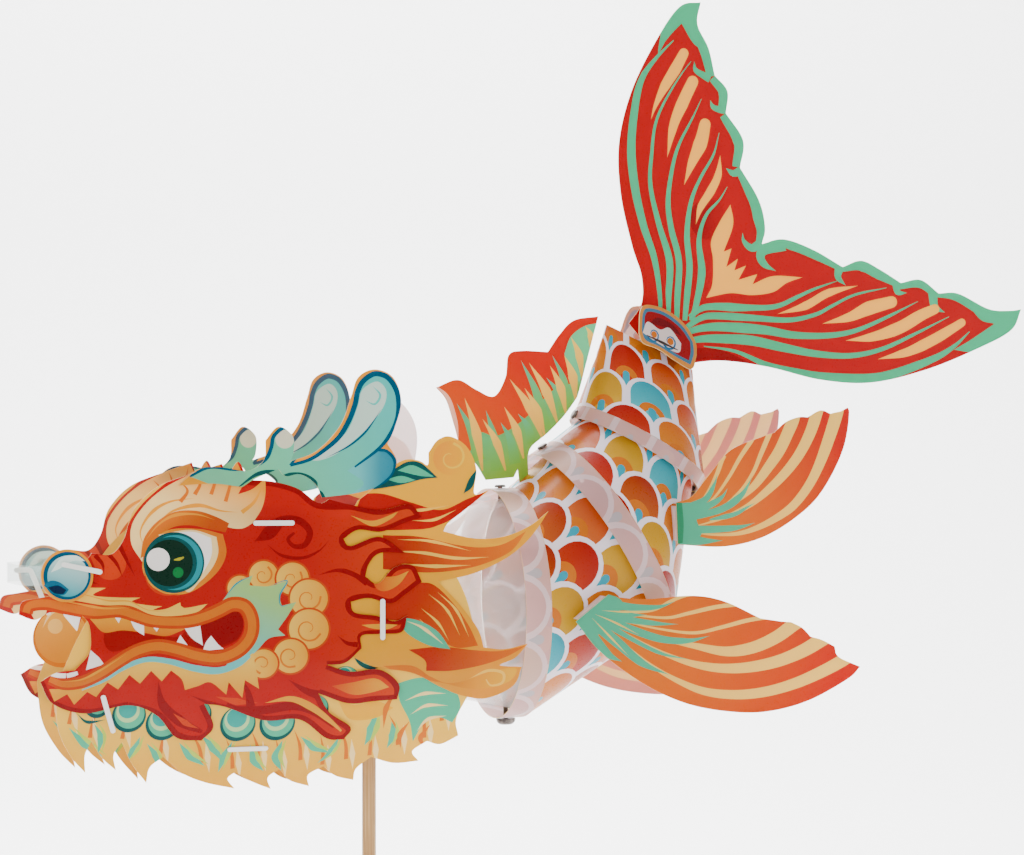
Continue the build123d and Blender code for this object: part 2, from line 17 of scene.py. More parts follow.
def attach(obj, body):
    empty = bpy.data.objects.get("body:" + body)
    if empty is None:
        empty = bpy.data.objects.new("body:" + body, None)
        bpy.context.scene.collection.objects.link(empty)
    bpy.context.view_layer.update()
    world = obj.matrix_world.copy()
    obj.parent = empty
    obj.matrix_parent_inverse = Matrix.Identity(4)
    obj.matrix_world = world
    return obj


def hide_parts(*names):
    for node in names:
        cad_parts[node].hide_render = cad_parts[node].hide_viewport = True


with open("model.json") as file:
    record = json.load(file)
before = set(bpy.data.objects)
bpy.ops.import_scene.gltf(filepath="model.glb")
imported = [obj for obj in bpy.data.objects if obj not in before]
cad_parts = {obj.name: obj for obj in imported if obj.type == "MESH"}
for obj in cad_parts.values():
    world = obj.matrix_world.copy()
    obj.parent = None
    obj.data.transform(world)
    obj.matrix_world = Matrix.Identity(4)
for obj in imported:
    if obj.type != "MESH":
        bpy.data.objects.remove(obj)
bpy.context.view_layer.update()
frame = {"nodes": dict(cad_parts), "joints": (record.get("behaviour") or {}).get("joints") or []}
joints = {joint["name"]: joint for joint in frame["joints"]}
neck_height = joints["head_swivel"]["pos_m"][2] * 1000

# ---------------------------------------------------------------- colours


RICHNESS = 0.75
INK_DEPTH = 0.36


def tone(red, green, blue):
    """A printed colour, 0 to 255, as linear light, inked a little richer."""
    share = np.array([red, green, blue]) / 255
    linear = np.where(share <= 0.04045, share / 12.92, ((share + 0.055) / 1.055) ** 2.4)
    strongest = max(linear.max(), 1e-6)
    purity = 1 - linear.min() / strongest
    richer = linear - linear.min() * RICHNESS * purity
    richer *= strongest / richer.max()
    return richer * (richer @ (0.2126, 0.7152, 0.0722) / strongest) ** INK_DEPTH


RED = tone(236, 38, 34)
DEEP_RED = tone(186, 6, 16)
MOUTH_RED = tone(198, 18, 20)
SCARLET = tone(255, 78, 30)
ORANGE = tone(246, 134, 40)
APRICOT = tone(253, 178, 66)
CREAM = tone(255, 214, 118)
PALE = tone(255, 232, 178)
YELLOW = tone(253, 192, 48)
WHITE = tone(252, 248, 244)
PALE_TEAL = tone(196, 214, 204)
SEA = tone(60, 160, 170)
DARK_TEAL = tone(0, 96, 128)
GREEN = tone(104, 192, 158)
LEAF = tone(150, 205, 150)
DARK_GREEN = tone(0, 84, 84)
PUPIL = tone(10, 44, 30)
FROST = tone(226, 208, 206)

# ---------------------------------------------------------------- drawing


def spline(points, step=1.4, closed=False):
    """Evenly stepped smooth curve through points."""
    points = np.array(points, float)
    if len(points) == 2 and not closed:
        count = max(1, int(np.linalg.norm(points[1] - points[0]) / (2 * step)))
        share = np.linspace(0, 1, count + 1)[:, None]
        return points[0] + (points[1] - points[0]) * share
    if closed:
        padded = np.vstack([points[-1], points, points[0], points[1]])
    else:
        padded = np.vstack([2 * points[0] - points[1], points, 2 * points[-1] - points[-2]])
    spans = []
    for before, start, end, after in zip(padded, padded[1:], padded[2:], padded[3:]):
        count = max(1, int(np.linalg.norm(end - start) / step))
        share = (np.arange(count) / count)[:, None]
        spans.append(
            0.5
            * (
                2 * start
                + (end - before) * share
                + (2 * before - 5 * start + 4 * end - after) * share**2
                + (3 * start - before - 3 * end + after) * share**3
            )
        )
    if not closed:
        spans.append(points[-1:])
    return np.vstack(spans)


def outline(runs):
    """Closed outline of smooth runs that meet at corners."""
    parts = []
    for run, following in zip(runs, runs[1:] + runs[:1]):
        parts.append(spline([*run, following[0]])[:-1])
    return np.vstack(parts)


def patch(points, paint):
    """A filled shape. A point with a third number is a corner."""
    corners = [i for i, point in enumerate(points) if len(point) > 2]
    flat = [point[:2] for point in points]
    if not corners:
        return spline(flat, closed=True), paint
    flat = flat[corners[0]:] + flat[: corners[0]]
    cuts = [i - corners[0] for i in corners]
    runs = [flat[start:end] for start, end in zip(cuts, cuts[1:] + [len(flat)])]
    return outline(runs), paint


def disc(x, z, radius, paint, squash=1.0):
    turn = np.linspace(0, 2 * math.pi, max(10, int(radius * 5)), endpoint=False)
    return np.column_stack([x + radius * np.cos(turn), z + radius * squash * np.sin(turn)]), paint


def stroke(points, widths, paint):
    """A line whose width runs through the given widths from end to end."""
    line = spline(points, 1.2)
    along = np.gradient(line, axis=0)
    along /= np.maximum(np.linalg.norm(along, axis=1), 1e-9)[:, None]
    across = np.column_stack([-along[:, 1], along[:, 0]])
    steps = np.concatenate([[0], np.cumsum(np.linalg.norm(np.diff(line, axis=0), axis=1))])
    width = np.interp(steps / steps[-1], np.linspace(0, 1, len(widths)), widths)[:, None] / 2
    width = np.maximum(width, 0.04)
    return np.vstack([line + across * width, (line - across * width)[::-1]]), paint


def spiral(x, z, radius, start, turns, width, paint):
    """A curl that winds inwards."""
    share = np.linspace(0, 1, 12)
    turn = math.radians(start) + share * turns * 2 * math.pi
    reach = radius * (1 - 0.75 * share)
    points = np.column_stack([x + reach * np.cos(turn), z + reach * np.sin(turn)])
    return stroke(points, (width, width * 0.8, width * 0.3), paint)


def fade(first, last, start, end):
    """Paint that runs from one colour to another between two points."""
    return first, last, start, end


def inside(polygon, points):
    """Which points lie in a polygon, by counting crossings."""
    found = np.zeros(len(points), bool)
    low, high = polygon.min(0), polygon.max(0)
    near = np.where(((points >= low) & (points <= high)).all(1))[0]
    px, pz = points[near, 0], points[near, 1]
    odd = np.zeros(len(near), bool)
    for (ax, az), (bx, bz) in zip(polygon, np.roll(polygon, -1, axis=0)):
        if az == bz:
            continue
        crosses = (az > pz) != (bz > pz)
        odd ^= crosses & (px < (bx - ax) * (pz - az) / (bz - az) + ax)
    found[near] = odd
    return found


def colour_at(paint, points):
    """Linear colour of a paint at points."""
    if not isinstance(paint, tuple):
        return np.tile(paint, (len(points), 1))
    first, last, start, end = paint
    span = np.array(end, float) - np.array(start, float)
    share = np.clip(((points - np.array(start)) @ span) / (span @ span), 0, 1)[:, None]
    return first + (last - first) * share


def cut_drawing(edge, zones, grid, holes=()):
    """Triangles of a drawing and the colours of their corners."""
    points, segments = [], []
    for polygon in [edge, *(zone[0] for zone in zones), *holes]:
        first = len(points)
        points.extend(map(tuple, polygon))
        segments.extend((first + i, first + (i + 1) % len(polygon)) for i in range(len(polygon)))
    low, high = edge.min(0), edge.max(0)
    xs = np.arange(low[0] + grid / 2, high[0], grid)
    zs = np.arange(low[1] + grid / 2, high[1], grid)
    mesh_x, mesh_z = np.meshgrid(xs, zs)
    points.extend(map(tuple, np.column_stack([mesh_x.ravel(), mesh_z.ravel()])))
    flat, _, faces, _, _, _ = delaunay_2d_cdt([Vector(p) for p in points], segments, [], 0, 1e-4)
    flat = np.array([(v.x, v.y) for v in flat])
    faces = np.array([face for face in faces if len(face) == 3])
    middles = flat[faces].mean(1)
    keep = inside(edge, middles)
    for hole in holes:
        keep &= ~inside(hole, middles)
    faces, middles = faces[keep], middles[keep]
    top = np.full(len(faces), -1)
    for order, (polygon, _) in enumerate(zones):
        top[inside(polygon, middles)] = order
    corners = flat[faces].reshape(-1, 2)
    colours = np.tile(WHITE, (len(corners), 1))
    for order, (_, paint) in enumerate(zones):
        chosen = np.repeat(top == order, 3)
        colours[chosen] = colour_at(paint, corners[chosen])
    used, renumbered = np.unique(faces, return_inverse=True)
    return flat[used], renumbered.reshape(-1, 3), colours.reshape(-1, 3, 3)


def printed_sheet(name, edge, zones, place, body, node, material, mirror=False, thick=0.5, grid=6.0,
    back=0.55, holes=()):
    """A sheet with the drawing outside, a paler ghost of it inside, and a white cut edge."""
    flat, faces, colours = cut_drawing(edge, zones, grid, holes)
    outer, inner = place(flat, thick), place(flat, 0.0)
    if mirror:
        outer, inner = outer * (1, -1, 1), inner * (1, -1, 1)
    count = len(flat)
    edges = np.sort(faces[:, [0, 1, 1, 2, 2, 0]].reshape(-1, 2), axis=1)
    directed = faces[:, [0, 1, 1, 2, 2, 0]].reshape(-1, 2)
    _, place_in, times = np.unique(edges, axis=0, return_inverse=True, return_counts=True)
    rim = directed[times[place_in.ravel()] == 1]
    front = faces if not mirror else faces[:, ::-1]
    front_colours = colours if not mirror else colours[:, ::-1]
    behind = front[:, ::-1] + count
    behind_colours = front_colours[:, ::-1] * (1 - back) + FROST * back
    if mirror:
        quads = np.column_stack([rim[:, 0], rim[:, 1], rim[:, 1] + count, rim[:, 0] + count])
    else:
        quads = np.column_stack([rim[:, 1], rim[:, 0], rim[:, 0] + count, rim[:, 1] + count])
    mesh = bpy.data.meshes.new(name)
    everything = [*front.tolist(), *behind.tolist(), *quads.tolist()]
    vertices = np.vstack([outer, inner]) / 1000
    mesh.from_pydata(vertices.tolist(), [], everything)
    shades = np.vstack(
        [front_colours.reshape(-1, 3), behind_colours.reshape(-1, 3), np.tile(PALE, (4 * len(quads), 1))]
    )
    shades = np.column_stack([shades, np.ones(len(shades))])
    layer = mesh.color_attributes.new("print", "FLOAT_COLOR", "CORNER")
    layer.data.foreach_set("color", shades.astype(np.float32).ravel())
    low, high = edge.min(0), edge.max(0)
    unit = (flat - low) / (high - low)
    near = unit[front.ravel()] * (0.48, 0.98) + (0.005, 0.01)
    far = unit[(behind - count).ravel()] * (0.48, 0.98) + (0.495, 0.01)
    strip = np.linspace(0.01, 0.99, len(quads) + 1)
    border = np.zeros((len(quads), 4, 2))
    border[:, (0, 3), 1] = strip[:-1, None]
    border[:, (1, 2), 1] = strip[1:, None]
    border[:, (0, 1), 0] = 0.985
    border[:, (2, 3), 0] = 0.995
    chart = mesh.uv_layers.new(name="OFBake")
    chart.data.foreach_set("uv", np.vstack([near, far, border.reshape(-1, 2)]).astype(np.float32).ravel())
    sharp = {tuple(sorted(pair)) for pair in rim.tolist()}
    sharp |= {(a + count, b + count) for a, b in sharp}
    for edge_line in mesh.edges:
        edge_line.use_edge_sharp = tuple(sorted(edge_line.vertices)) in sharp
    mesh.polygons.foreach_set("use_smooth", np.ones(len(mesh.polygons), bool))
    mesh.materials.append(material)
    piece = bpy.data.objects.new(name, mesh)
    bpy.context.collection.objects.link(piece)
    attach(piece, body)
    if node:
        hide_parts(node)
    return piece


# ---------------------------------------------------------------- materials


def group_socket(group, name, direction, kind, value=None):
    made = group.interface.new_socket(name, in_out=direction, socket_type=kind)
    if value is not None:
        made.default_value = value
    return made


def make_film_group():
    """Print colour with the faint mottling and waviness of printed film."""
    group = bpy.data.node_groups.new("film_surface", "ShaderNodeTree")
    group_socket(group, "Colour", "INPUT", "NodeSocketColor", (1, 1, 1, 1))
    group_socket(group, "Mottle", "INPUT", "NodeSocketFloat", 0.06)
    group_socket(group, "Colour", "OUTPUT", "NodeSocketColor")
    group_socket(group, "Roughness", "OUTPUT", "NodeSocketFloat")
    group_socket(group, "Normal", "OUTPUT", "NodeSocketVector")
    nodes, links = group.nodes, group.links
    entry, leave = nodes.new("NodeGroupInput"), nodes.new("NodeGroupOutput")
    where = nodes.new("ShaderNodeTexCoord")
    fine = nodes.new("ShaderNodeTexNoise")
    fine.inputs["Scale"].default_value = 900.0
    fine.inputs["Detail"].default_value = 3.0
    broad = nodes.new("ShaderNodeTexNoise")
    broad.inputs["Scale"].default_value = 14.0
    broad.inputs["Detail"].default_value = 1.0
    scaled = nodes.new("ShaderNodeMath")
    scaled.operation = "MULTIPLY"
    shade = nodes.new("ShaderNodeMath")
    shade.operation = "SUBTRACT"
    shade.inputs[0].default_value = 1.0
    tint = nodes.new("ShaderNodeVectorMath")
    tint.operation = "SCALE"
    rough = nodes.new("ShaderNodeMapRange")
    rough.inputs["To Min"].default_value = 0.22
    rough.inputs["To Max"].default_value = 0.36
    bump = nodes.new("ShaderNodeBump")
    bump.inputs["Strength"].default_value = 0.25
    bump.inputs["Distance"].default_value = 0.004
    links.new(where.outputs["Object"], fine.inputs["Vector"])
    links.new(where.outputs["Object"], broad.inputs["Vector"])
    links.new(fine.outputs["Fac"], scaled.inputs[0])
    links.new(entry.outputs["Mottle"], scaled.inputs[1])
    links.new(scaled.outputs[0], shade.inputs[1])
    links.new(entry.outputs["Colour"], tint.inputs[0])
    links.new(shade.outputs[0], tint.inputs["Scale"])
    links.new(tint.outputs[0], leave.inputs["Colour"])
    links.new(fine.outputs["Fac"], rough.inputs["Value"])
    links.new(rough.outputs["Result"], leave.inputs["Roughness"])
    links.new(broad.outputs["Fac"], bump.inputs["Height"])
    links.new(bump.outputs["Normal"], leave.inputs["Normal"])
    return group


film_group = make_film_group()


def film_material(name, glow=0.35, clear=0.0, colour=None):
    """Glossy film that lets light through; its colour is the drawing's, or plain."""
    material = bpy.data.materials.new(name)
    material.use_nodes = True
    nodes, links = material.node_tree.nodes, material.node_tree.links
    shader = nodes["Principled BSDF"]
    surface = nodes.new("ShaderNodeGroup")
    surface.node_tree = film_group
    if colour is None:
        source = nodes.new("ShaderNodeVertexColor")
        source.layer_name = "print"
        links.new(source.outputs["Color"], surface.inputs["Colour"])
    else:
        surface.inputs["Colour"].default_value = (*colour, 1)
    links.new(surface.outputs["Colour"], shader.inputs["Base Color"])
    links.new(surface.outputs["Roughness"], shader.inputs["Roughness"])
    links.new(surface.outputs["Normal"], shader.inputs["Normal"])
    shader.inputs["Alpha"].default_value = 1 - clear
    shader.inputs["Specular IOR Level"].default_value = 0.2
    through = nodes.new("ShaderNodeBsdfTranslucent")
    links.new(surface.outputs["Colour"], through.inputs["Color"])
    blend = nodes.new("ShaderNodeMixShader")
    blend.inputs["Fac"].default_value = glow
    links.new(shader.outputs[0], blend.inputs[1])
    if clear > 0:
        see = nodes.new("ShaderNodeBsdfTransparent")
        veil = nodes.new("ShaderNodeMixShader")
        veil.inputs["Fac"].default_value = clear
        links.new(through.outputs[0], veil.inputs[1])
        links.new(see.outputs[0], veil.inputs[2])
        links.new(veil.outputs[0], blend.inputs[2])
    else:
        links.new(through.outputs[0], blend.inputs[2])
    links.new(blend.outputs[0], nodes["Material Output"].inputs["Surface"])
    return material


print_film = film_material("print_film")
fin_film = film_material("fin_film", glow=0.45)
frosted_film = film_material("frosted_film", glow=0.5, clear=0.35, colour=tone(238, 216, 214))
white_strip = film_material("white_strip", glow=0.15, colour=tone(248, 246, 240))
clear_strap = film_material("clear_strap", glow=0.4, clear=0.5, colour=tone(236, 238, 240))


def wood_material():
    material = bpy.data.materials.new("dowel_wood")
    material.use_nodes = True
    nodes, links = material.node_tree.nodes, material.node_tree.links
    shader = nodes["Principled BSDF"]
    where = nodes.new("ShaderNodeTexCoord")
    stretch = nodes.new("ShaderNodeMapping")
    stretch.inputs["Scale"].default_value = (900.0, 900.0, 18.0)
    grain = nodes.new("ShaderNodeTexNoise")
    grain.inputs["Scale"].default_value = 1.0
    grain.inputs["Detail"].default_value = 4.0
    ramp = nodes.new("ShaderNodeValToRGB")
    ramp.color_ramp.elements[0].position = 0.35
    ramp.color_ramp.elements[0].color = (*tone(166, 124, 84), 1)
    ramp.color_ramp.elements[1].position = 0.68
    ramp.color_ramp.elements[1].color = (*tone(214, 178, 134), 1)
    bump = nodes.new("ShaderNodeBump")
    bump.inputs["Strength"].default_value = 0.3
    bump.inputs["Distance"].default_value = 0.0004
    links.new(where.outputs["Object"], stretch.inputs["Vector"])
    links.new(stretch.outputs["Vector"], grain.inputs["Vector"])
    links.new(grain.outputs["Fac"], ramp.inputs["Fac"])
    links.new(ramp.outputs["Color"], shader.inputs["Base Color"])
    links.new(grain.outputs["Fac"], bump.inputs["Height"])
    links.new(bump.outputs["Normal"], shader.inputs["Normal"])
    shader.inputs["Roughness"].default_value = 0.55
    return material


def brad_material():
    material = bpy.data.materials.new("dark_brad_steel")
    material.use_nodes = True
    nodes, links = material.node_tree.nodes, material.node_tree.links
    shader = nodes["Principled BSDF"]
    where = nodes.new("ShaderNodeTexCoord")
    scuff = nodes.new("ShaderNodeTexNoise")
    scuff.inputs["Scale"].default_value = 420.0
    scuff.inputs["Detail"].default_value = 5.0
    ramp = nodes.new("ShaderNodeValToRGB")
    ramp.color_ramp.elements[0].position = 0.4
    ramp.color_ramp.elements[0].color = (*tone(74, 68, 66), 1)
    ramp.color_ramp.elements[1].position = 0.7
    ramp.color_ramp.elements[1].color = (*tone(128, 118, 112), 1)
    gloss = nodes.new("ShaderNodeMapRange")
    gloss.inputs["To Min"].default_value = 0.2
    gloss.inputs["To Max"].default_value = 0.42
    links.new(where.outputs["Object"], scuff.inputs["Vector"])
    links.new(scuff.outputs["Fac"], ramp.inputs["Fac"])
    links.new(scuff.outputs["Fac"], gloss.inputs["Value"])
    links.new(ramp.outputs["Color"], shader.inputs["Base Color"])
    links.new(gloss.outputs["Result"], shader.inputs["Roughness"])
    shader.inputs["Metallic"].default_value = 1.0
    return material


def dress(material, *nodes):
    """Gives CAD pieces a finish."""
    for node in nodes:
        mesh = frame["nodes"][node].data
        mesh.materials.clear()
        mesh.materials.append(material)


dress(wood_material(), "stick")
dress(brad_material(), "neck_brads", "waist_brads", "stem_brads")
dress(white_strip, "stick_cap", "lock_tabs_left", "lock_tabs_right", "nose_tabs", "pearl_hanger")
dress(clear_strap, "strap_bottom", "strap_top")
clear_sleeve = film_material("clear_sleeve", glow=0.5, clear=0.72, colour=tone(250, 246, 244))
dress(clear_sleeve, "neck_sleeve")
dress(frosted_film, "crest_tongue", "pectoral_roots", "pelvic_roots")

# ---------------------------------------------------------------- head surface

NOSE_HALF_WIDTH, FLARE_WIDTH, FLARE_START, FLARE_LENGTH = 30.0, 39.0, -200.0, 278.0
CURL_START, CURL_HEIGHT, KEEL_HALF_WIDTH = -20.0, 85.0, 5.0
LAYER_PITCH = 0.9


def cheek(layer):
    """Places drawing points on the left cheek surface."""

    def place(points, lift):
        x, z = points[:, 0], points[:, 1]
        width = NOSE_HALF_WIDTH + FLARE_WIDTH * ((x - FLARE_START) / FLARE_LENGTH) ** 2
        drop = np.clip((CURL_START - z) / CURL_HEIGHT, 0, 1)
        y = KEEL_HALF_WIDTH + (width - KEEL_HALF_WIDTH) * (1 - drop**2) + layer * LAYER_PITCH + lift
        return np.column_stack([x, -y, z + neck_height])

    return place


def upright(distance):
    """Places drawing points on a plane beside the middle plane."""

    def place(points, lift):
        return np.column_stack([points[:, 0], np.full(len(points), -distance - lift), points[:,
            1] + neck_height])

    return place


# ---------------------------------------------------------------- face drawing
C = 0  # third number of a corner point

face_edge = outline([
    [(-207, 1), (-205, 8), (-195, 10), (-176, 14), (-172, 26)],
    [(-167, 34), (-156, 33.5), (-149, 42), (-144, 57), (-131, 70), (-110, 78)],
    [(-95, 83), (-93, 77)],
    [(-92, 75), (-86, 84)],
    [(-81, 74), (-67, 73), (-53, 69), (-42, 61)],
    [(-36, 63), (-24, 60), (-8, 57), (8, 60)],
    [(15, 53), (6, 50), (-7, 45), (-20, 46)],
    [(-28, 41), (-24, 37), (-8, 42)],
    [(6, 33), (-8, 33), (-14, 27)],
    [(-16, 20), (-9, 16), (0, 25), (10, 26)],
    [(15, 17), (6, 10), (-2, 5), (-14, 8)],
    [(-24, 6), (-22, 0), (-10, -2), (0, -5)],
    [(7, -2), (4, -11), (-8, -12), (-18, -13)],
    [(-18, -20), (-27, -28)],
    [(-37, -29), (-24, -33), (-8, -32), (3, -40)],
    [(3, -49), (-10, -50), (-24, -51)],
    [(-41, -45), (-34, -56), (-21, -65)],
    [(-24, -72), (-34, -71), (-50, -60), (-70, -60), (-92, -52)],
    [(-104, -50), (-98, -63)],
    [(-104, -71), (-118, -69), (-130, -56), (-146, -50), (-170, -54), (-188, -48)],
    [(-195, -36), (-186, -31)],
    [(-176, -30), (-168, -20), (-168, -6)],
    [(-172, 0)],
    [(-175, -8.5)],
    [(-183, 1), (-190, 2), (-198, -2)],
])
fringe_fade = fade(RED, SCARLET, (-50, 0), (4, 0))
lip_path = [
    (-203, 2), (-201, 6), (-192, 7), (-180, 4.5), (-166, 2), (-152, 2.5), (-143, 0), (-134, -3), (-122, -4),
    (-112, -3.5), (-103, -1), (-96, 2), (-89, 5.2), (-82, 3.5), (-78.5, -4), (-79.5, -13), (-86, -20.5),
    (-97, -24.5), (-109, -23), (-120, -19.5), (-131, -17.5), (-142, -20), (-152, -25.5), (-162, -32), (-172,
        -36.5),
    (-182, -37.5), (-190, -34.5),
]
face_zones = [
    (face_edge, fringe_fade),
    stroke([(-95, 80), (-81, 74), (-67, 73), (-53, 69), (-42, 61), (-24, 60), (-8, 57), (8, 60), (15, 53)],
        (5, 6, 5), DEEP_RED),
    stroke([(15, 53), (6, 50), (-7, 45), (-20, 46), (-28, 41), (-24, 37), (-8, 42), (6, 33)], (5, 5, 5),
        DEEP_RED),
    stroke([(6, 33), (-8, 33), (-14, 27), (-16, 20), (-9, 16), (0, 25), (10, 26), (15, 17)], (5, 5, 5),
        DEEP_RED),
    stroke([(15, 17), (6, 10), (-2, 5), (-14, 8), (-24, 6), (-22, 0), (-10, -2), (0, -5), (7, -2)], (5, 5, 5),
        DEEP_RED),
    stroke([(7, -2), (4, -11), (-8, -12), (-18, -13), (-18, -20), (-27, -28), (-37, -29)], (5, 4, 4),
        DEEP_RED),
    stroke([(-37, -29), (-24, -33), (-8, -32), (3, -40), (3, -49), (-10, -50), (-24, -51), (-41, -45)], (5, 7,
        5), DEEP_RED),
    stroke([(-41, -45), (-34, -56), (-21, -65), (-24, -72), (-34, -71), (-50, -60), (-70, -60), (-92, -52)],
        (6, 6, 5), DEEP_RED),
    stroke([(-104, -50), (-98, -63), (-104, -71), (-118, -69), (-130, -56), (-146, -50)], (6, 7, 4),
        DEEP_RED),
    stroke([(-146, -50), (-170, -54), (-188, -48), (-195, -36)], (4, 5, 4), DEEP_RED),
    # fringe lines
    stroke([(-42, 21), (-31, 23.5), (-22, 21), (-15, 16)], (0, 2.6, 3), DEEP_RED),
    stroke([(-31, -13), (-26, -17), (-20, -18)], (0, 2, 3), DEEP_RED),
    stroke([(-58, -37), (-49, -43), (-41, -46)], (0, 3, 5), DEEP_RED),
    stroke([(-112, -45), (-100, -50), (-86, -54), (-70, -54), (-54, -52), (-42, -56), (-30, -64)], (0, 5, 5,
        3), DEEP_RED),
    stroke([(-70, -50), (-56, -48), (-44, -53), (-33, -61), (-26, -67)], (0, 3, 4, 3, 1), APRICOT),
    stroke([(-98, -46), (-86, -49), (-74, -50)], (0, 4, 0), SCARLET),
    stroke([(-78, -52), (-80, -44), (-84, -36)], (5, 3, 0), DEEP_RED),
    patch([(-34, -41, C), (-22, -39), (-10, -37), (-2, -42, C), (-12, -45), (-22, -46)], fade(SCARLET,
        APRICOT, (-34, 0), (-6, 0))),
    patch([(-24, 54, C), (-12, 51), (2, 56, C), (-2, 52), (-12, 48)], APRICOT),
    patch([(-14, 24, C), (-8, 20.5), (0, 20), (8, 23, C), (3, 16), (-4, 12), (-10, 13.5)], fade(SCARLET,
        APRICOT, (-14, 0), (8, 0))),
    patch([(-18, -7, C), (-8, -6.5), (2, -7, C), (-4, -9.5), (-12, -9)], APRICOT),
    stroke([(-130, -37), (-127, -50), (-116, -60), (-104, -66)], (0, 5, 6, 2), DEEP_RED),
    stroke([(-121, -55), (-113, -61), (-106, -64)], (0, 3.4, 0), SCARLET),
    # brow
    patch([(-157, 33, C), (-158, 44), (-152, 58), (-144, 67), (-131, 75.5), (-118, 79, C), (-129, 70),
           (-139, 61), (-146, 51), (-150, 40)], fade(APRICOT, CREAM, (-158, 34), (-140, 60))),
    patch([(-139, 29, C), (-145, 39), (-144.5, 50), (-137, 61), (-127, 69.5), (-117, 75), (-106, 80), (-97,
        84, C),
           (-94, 78), (-92, 76, C), (-87, 85, C), (-83, 74), (-86, 66, C), (-78, 69), (-71, 75, C), (-71,
               66), (-73, 58),
           (-78, 50, C), (-84, 47), (-92, 48), (-96, 52), (-104, 55.5), (-114, 57), (-124, 54.5), (-132,
               47), (-137, 37)],
          fade(PALE, APRICOT, (-112, 56), (-100, 82))),
    stroke([(-138, 37), (-140, 46), (-134, 56), (-124, 62), (-110, 64)], (0, 2, 0), APRICOT),
    stroke([(-131, 50), (-122, 57), (-108, 60), (-96, 57), (-86, 56)], (0, 2.4, 0), APRICOT),
    stroke([(-118, 62), (-114, 68), (-118, 73)], (2.4, 1.6, 0), ORANGE),
    stroke([(-110, 66), (-107, 72), (-109, 78)], (2.4, 1.6, 0), ORANGE),
    stroke([(-101, 66), (-99, 72), (-97, 81)], (2.2, 1.6, 0), ORANGE),
    stroke([(-93, 62), (-91, 69), (-88, 80)], (2.2, 1.6, 0), ORANGE),
    stroke([(-84, 56), (-77, 62), (-72, 72)], (2.4, 1.6, 0), APRICOT),
    # eyelid and eye
    patch([(-140, 31, C), (-138, 42), (-131, 51), (-121, 56.5), (-109, 57), (-99, 54), (-91, 50, C), (-93, 45,
        C),
           (-103, 47), (-112, 49), (-122, 48), (-131, 42), (-136, 34)], fade(ORANGE, tone(228, 92, 22), (-120,
               56), (-104, 44))),
    stroke([(-137, 41), (-130, 49.5), (-121, 54.6), (-109, 55), (-99, 52)], (0, 1.8, 0), APRICOT),
    patch([(-137, 35, C), (-126, 46), (-108, 47), (-94.5, 44, C), (-92.5, 34), (-96, 25), (-104, 17), (-114,
        11.5),
           (-126, 11), (-135, 17), (-139, 26)], fade(APRICOT, ORANGE, (-136, 20), (-94, 30))),
    patch([(-130, 44, C), (-112, 46.5), (-98, 42.5, C), (-97, 34), (-100, 26), (-107, 18), (-116, 13.5)],
        PALE),
    patch([(-128, 44, C), (-112, 45.5), (-101, 42, C), (-100.5, 34), (-103, 27), (-109, 19.5), (-120, 20)],
        WHITE),
    disc(-121.5, 28.5, 16.8, DARK_GREEN),
    disc(-120.8, 28.5, 15.2, SEA),
    disc(-123.2, 28.3, 14.4, DARK_GREEN),
    disc(-124.0, 28.3, 12.9, PUPIL),
    disc(-130.2, 30.3, 6.4, WHITE),
    disc(-119.2, 23.0, 3.0, tone(40, 128, 70)),
    stroke([(-121.5, 30), (-118.6, 30.4), (-116, 31.4)], (0.6, 1.8, 0.8), tone(190, 180, 70)),
    stroke([(-138.5, 25), (-135, 16), (-127, 11), (-117, 11)], (0, 1.8, 0), SCARLET),
    # cheek wrinkles by the nose
    patch([(-168, 33, C), (-158, 33), (-151, 36), (-148, 27), (-153, 20), (-162, 21)], SCARLET),
    stroke([(-165, 33), (-161, 28), (-160, 22)], (2.6, 1.8, 0), DEEP_RED),
    stroke([(-158, 34), (-153, 28), (-150, 21)], (2.4, 1.8, 0), DEEP_RED),
    stroke([(-152, 39), (-147, 29), (-143, 21)], (2.8, 1.8, 0), DEEP_RED),
    stroke([(-172, 24), (-168, 19), (-163, 17)], (3, 2, 0), DEEP_RED),
    # ear curl
    stroke([(-77, 39), (-70, 47), (-61, 52), (-52, 51), (-46.5, 45), (-49, 38), (-55, 37), (-58.5, 41), (-55,
        44.5)], (0, 4, 4, 3, 1.4), DEEP_RED),
    patch([(-77, 40, C), (-69, 49), (-60, 53, C), (-63, 46), (-68, 41)], DEEP_RED),
    stroke([(-70, 38), (-62, 32), (-51, 30.5), (-42, 34), (-36, 40)], (0, 2, 1.6, 0), DEEP_RED),
]
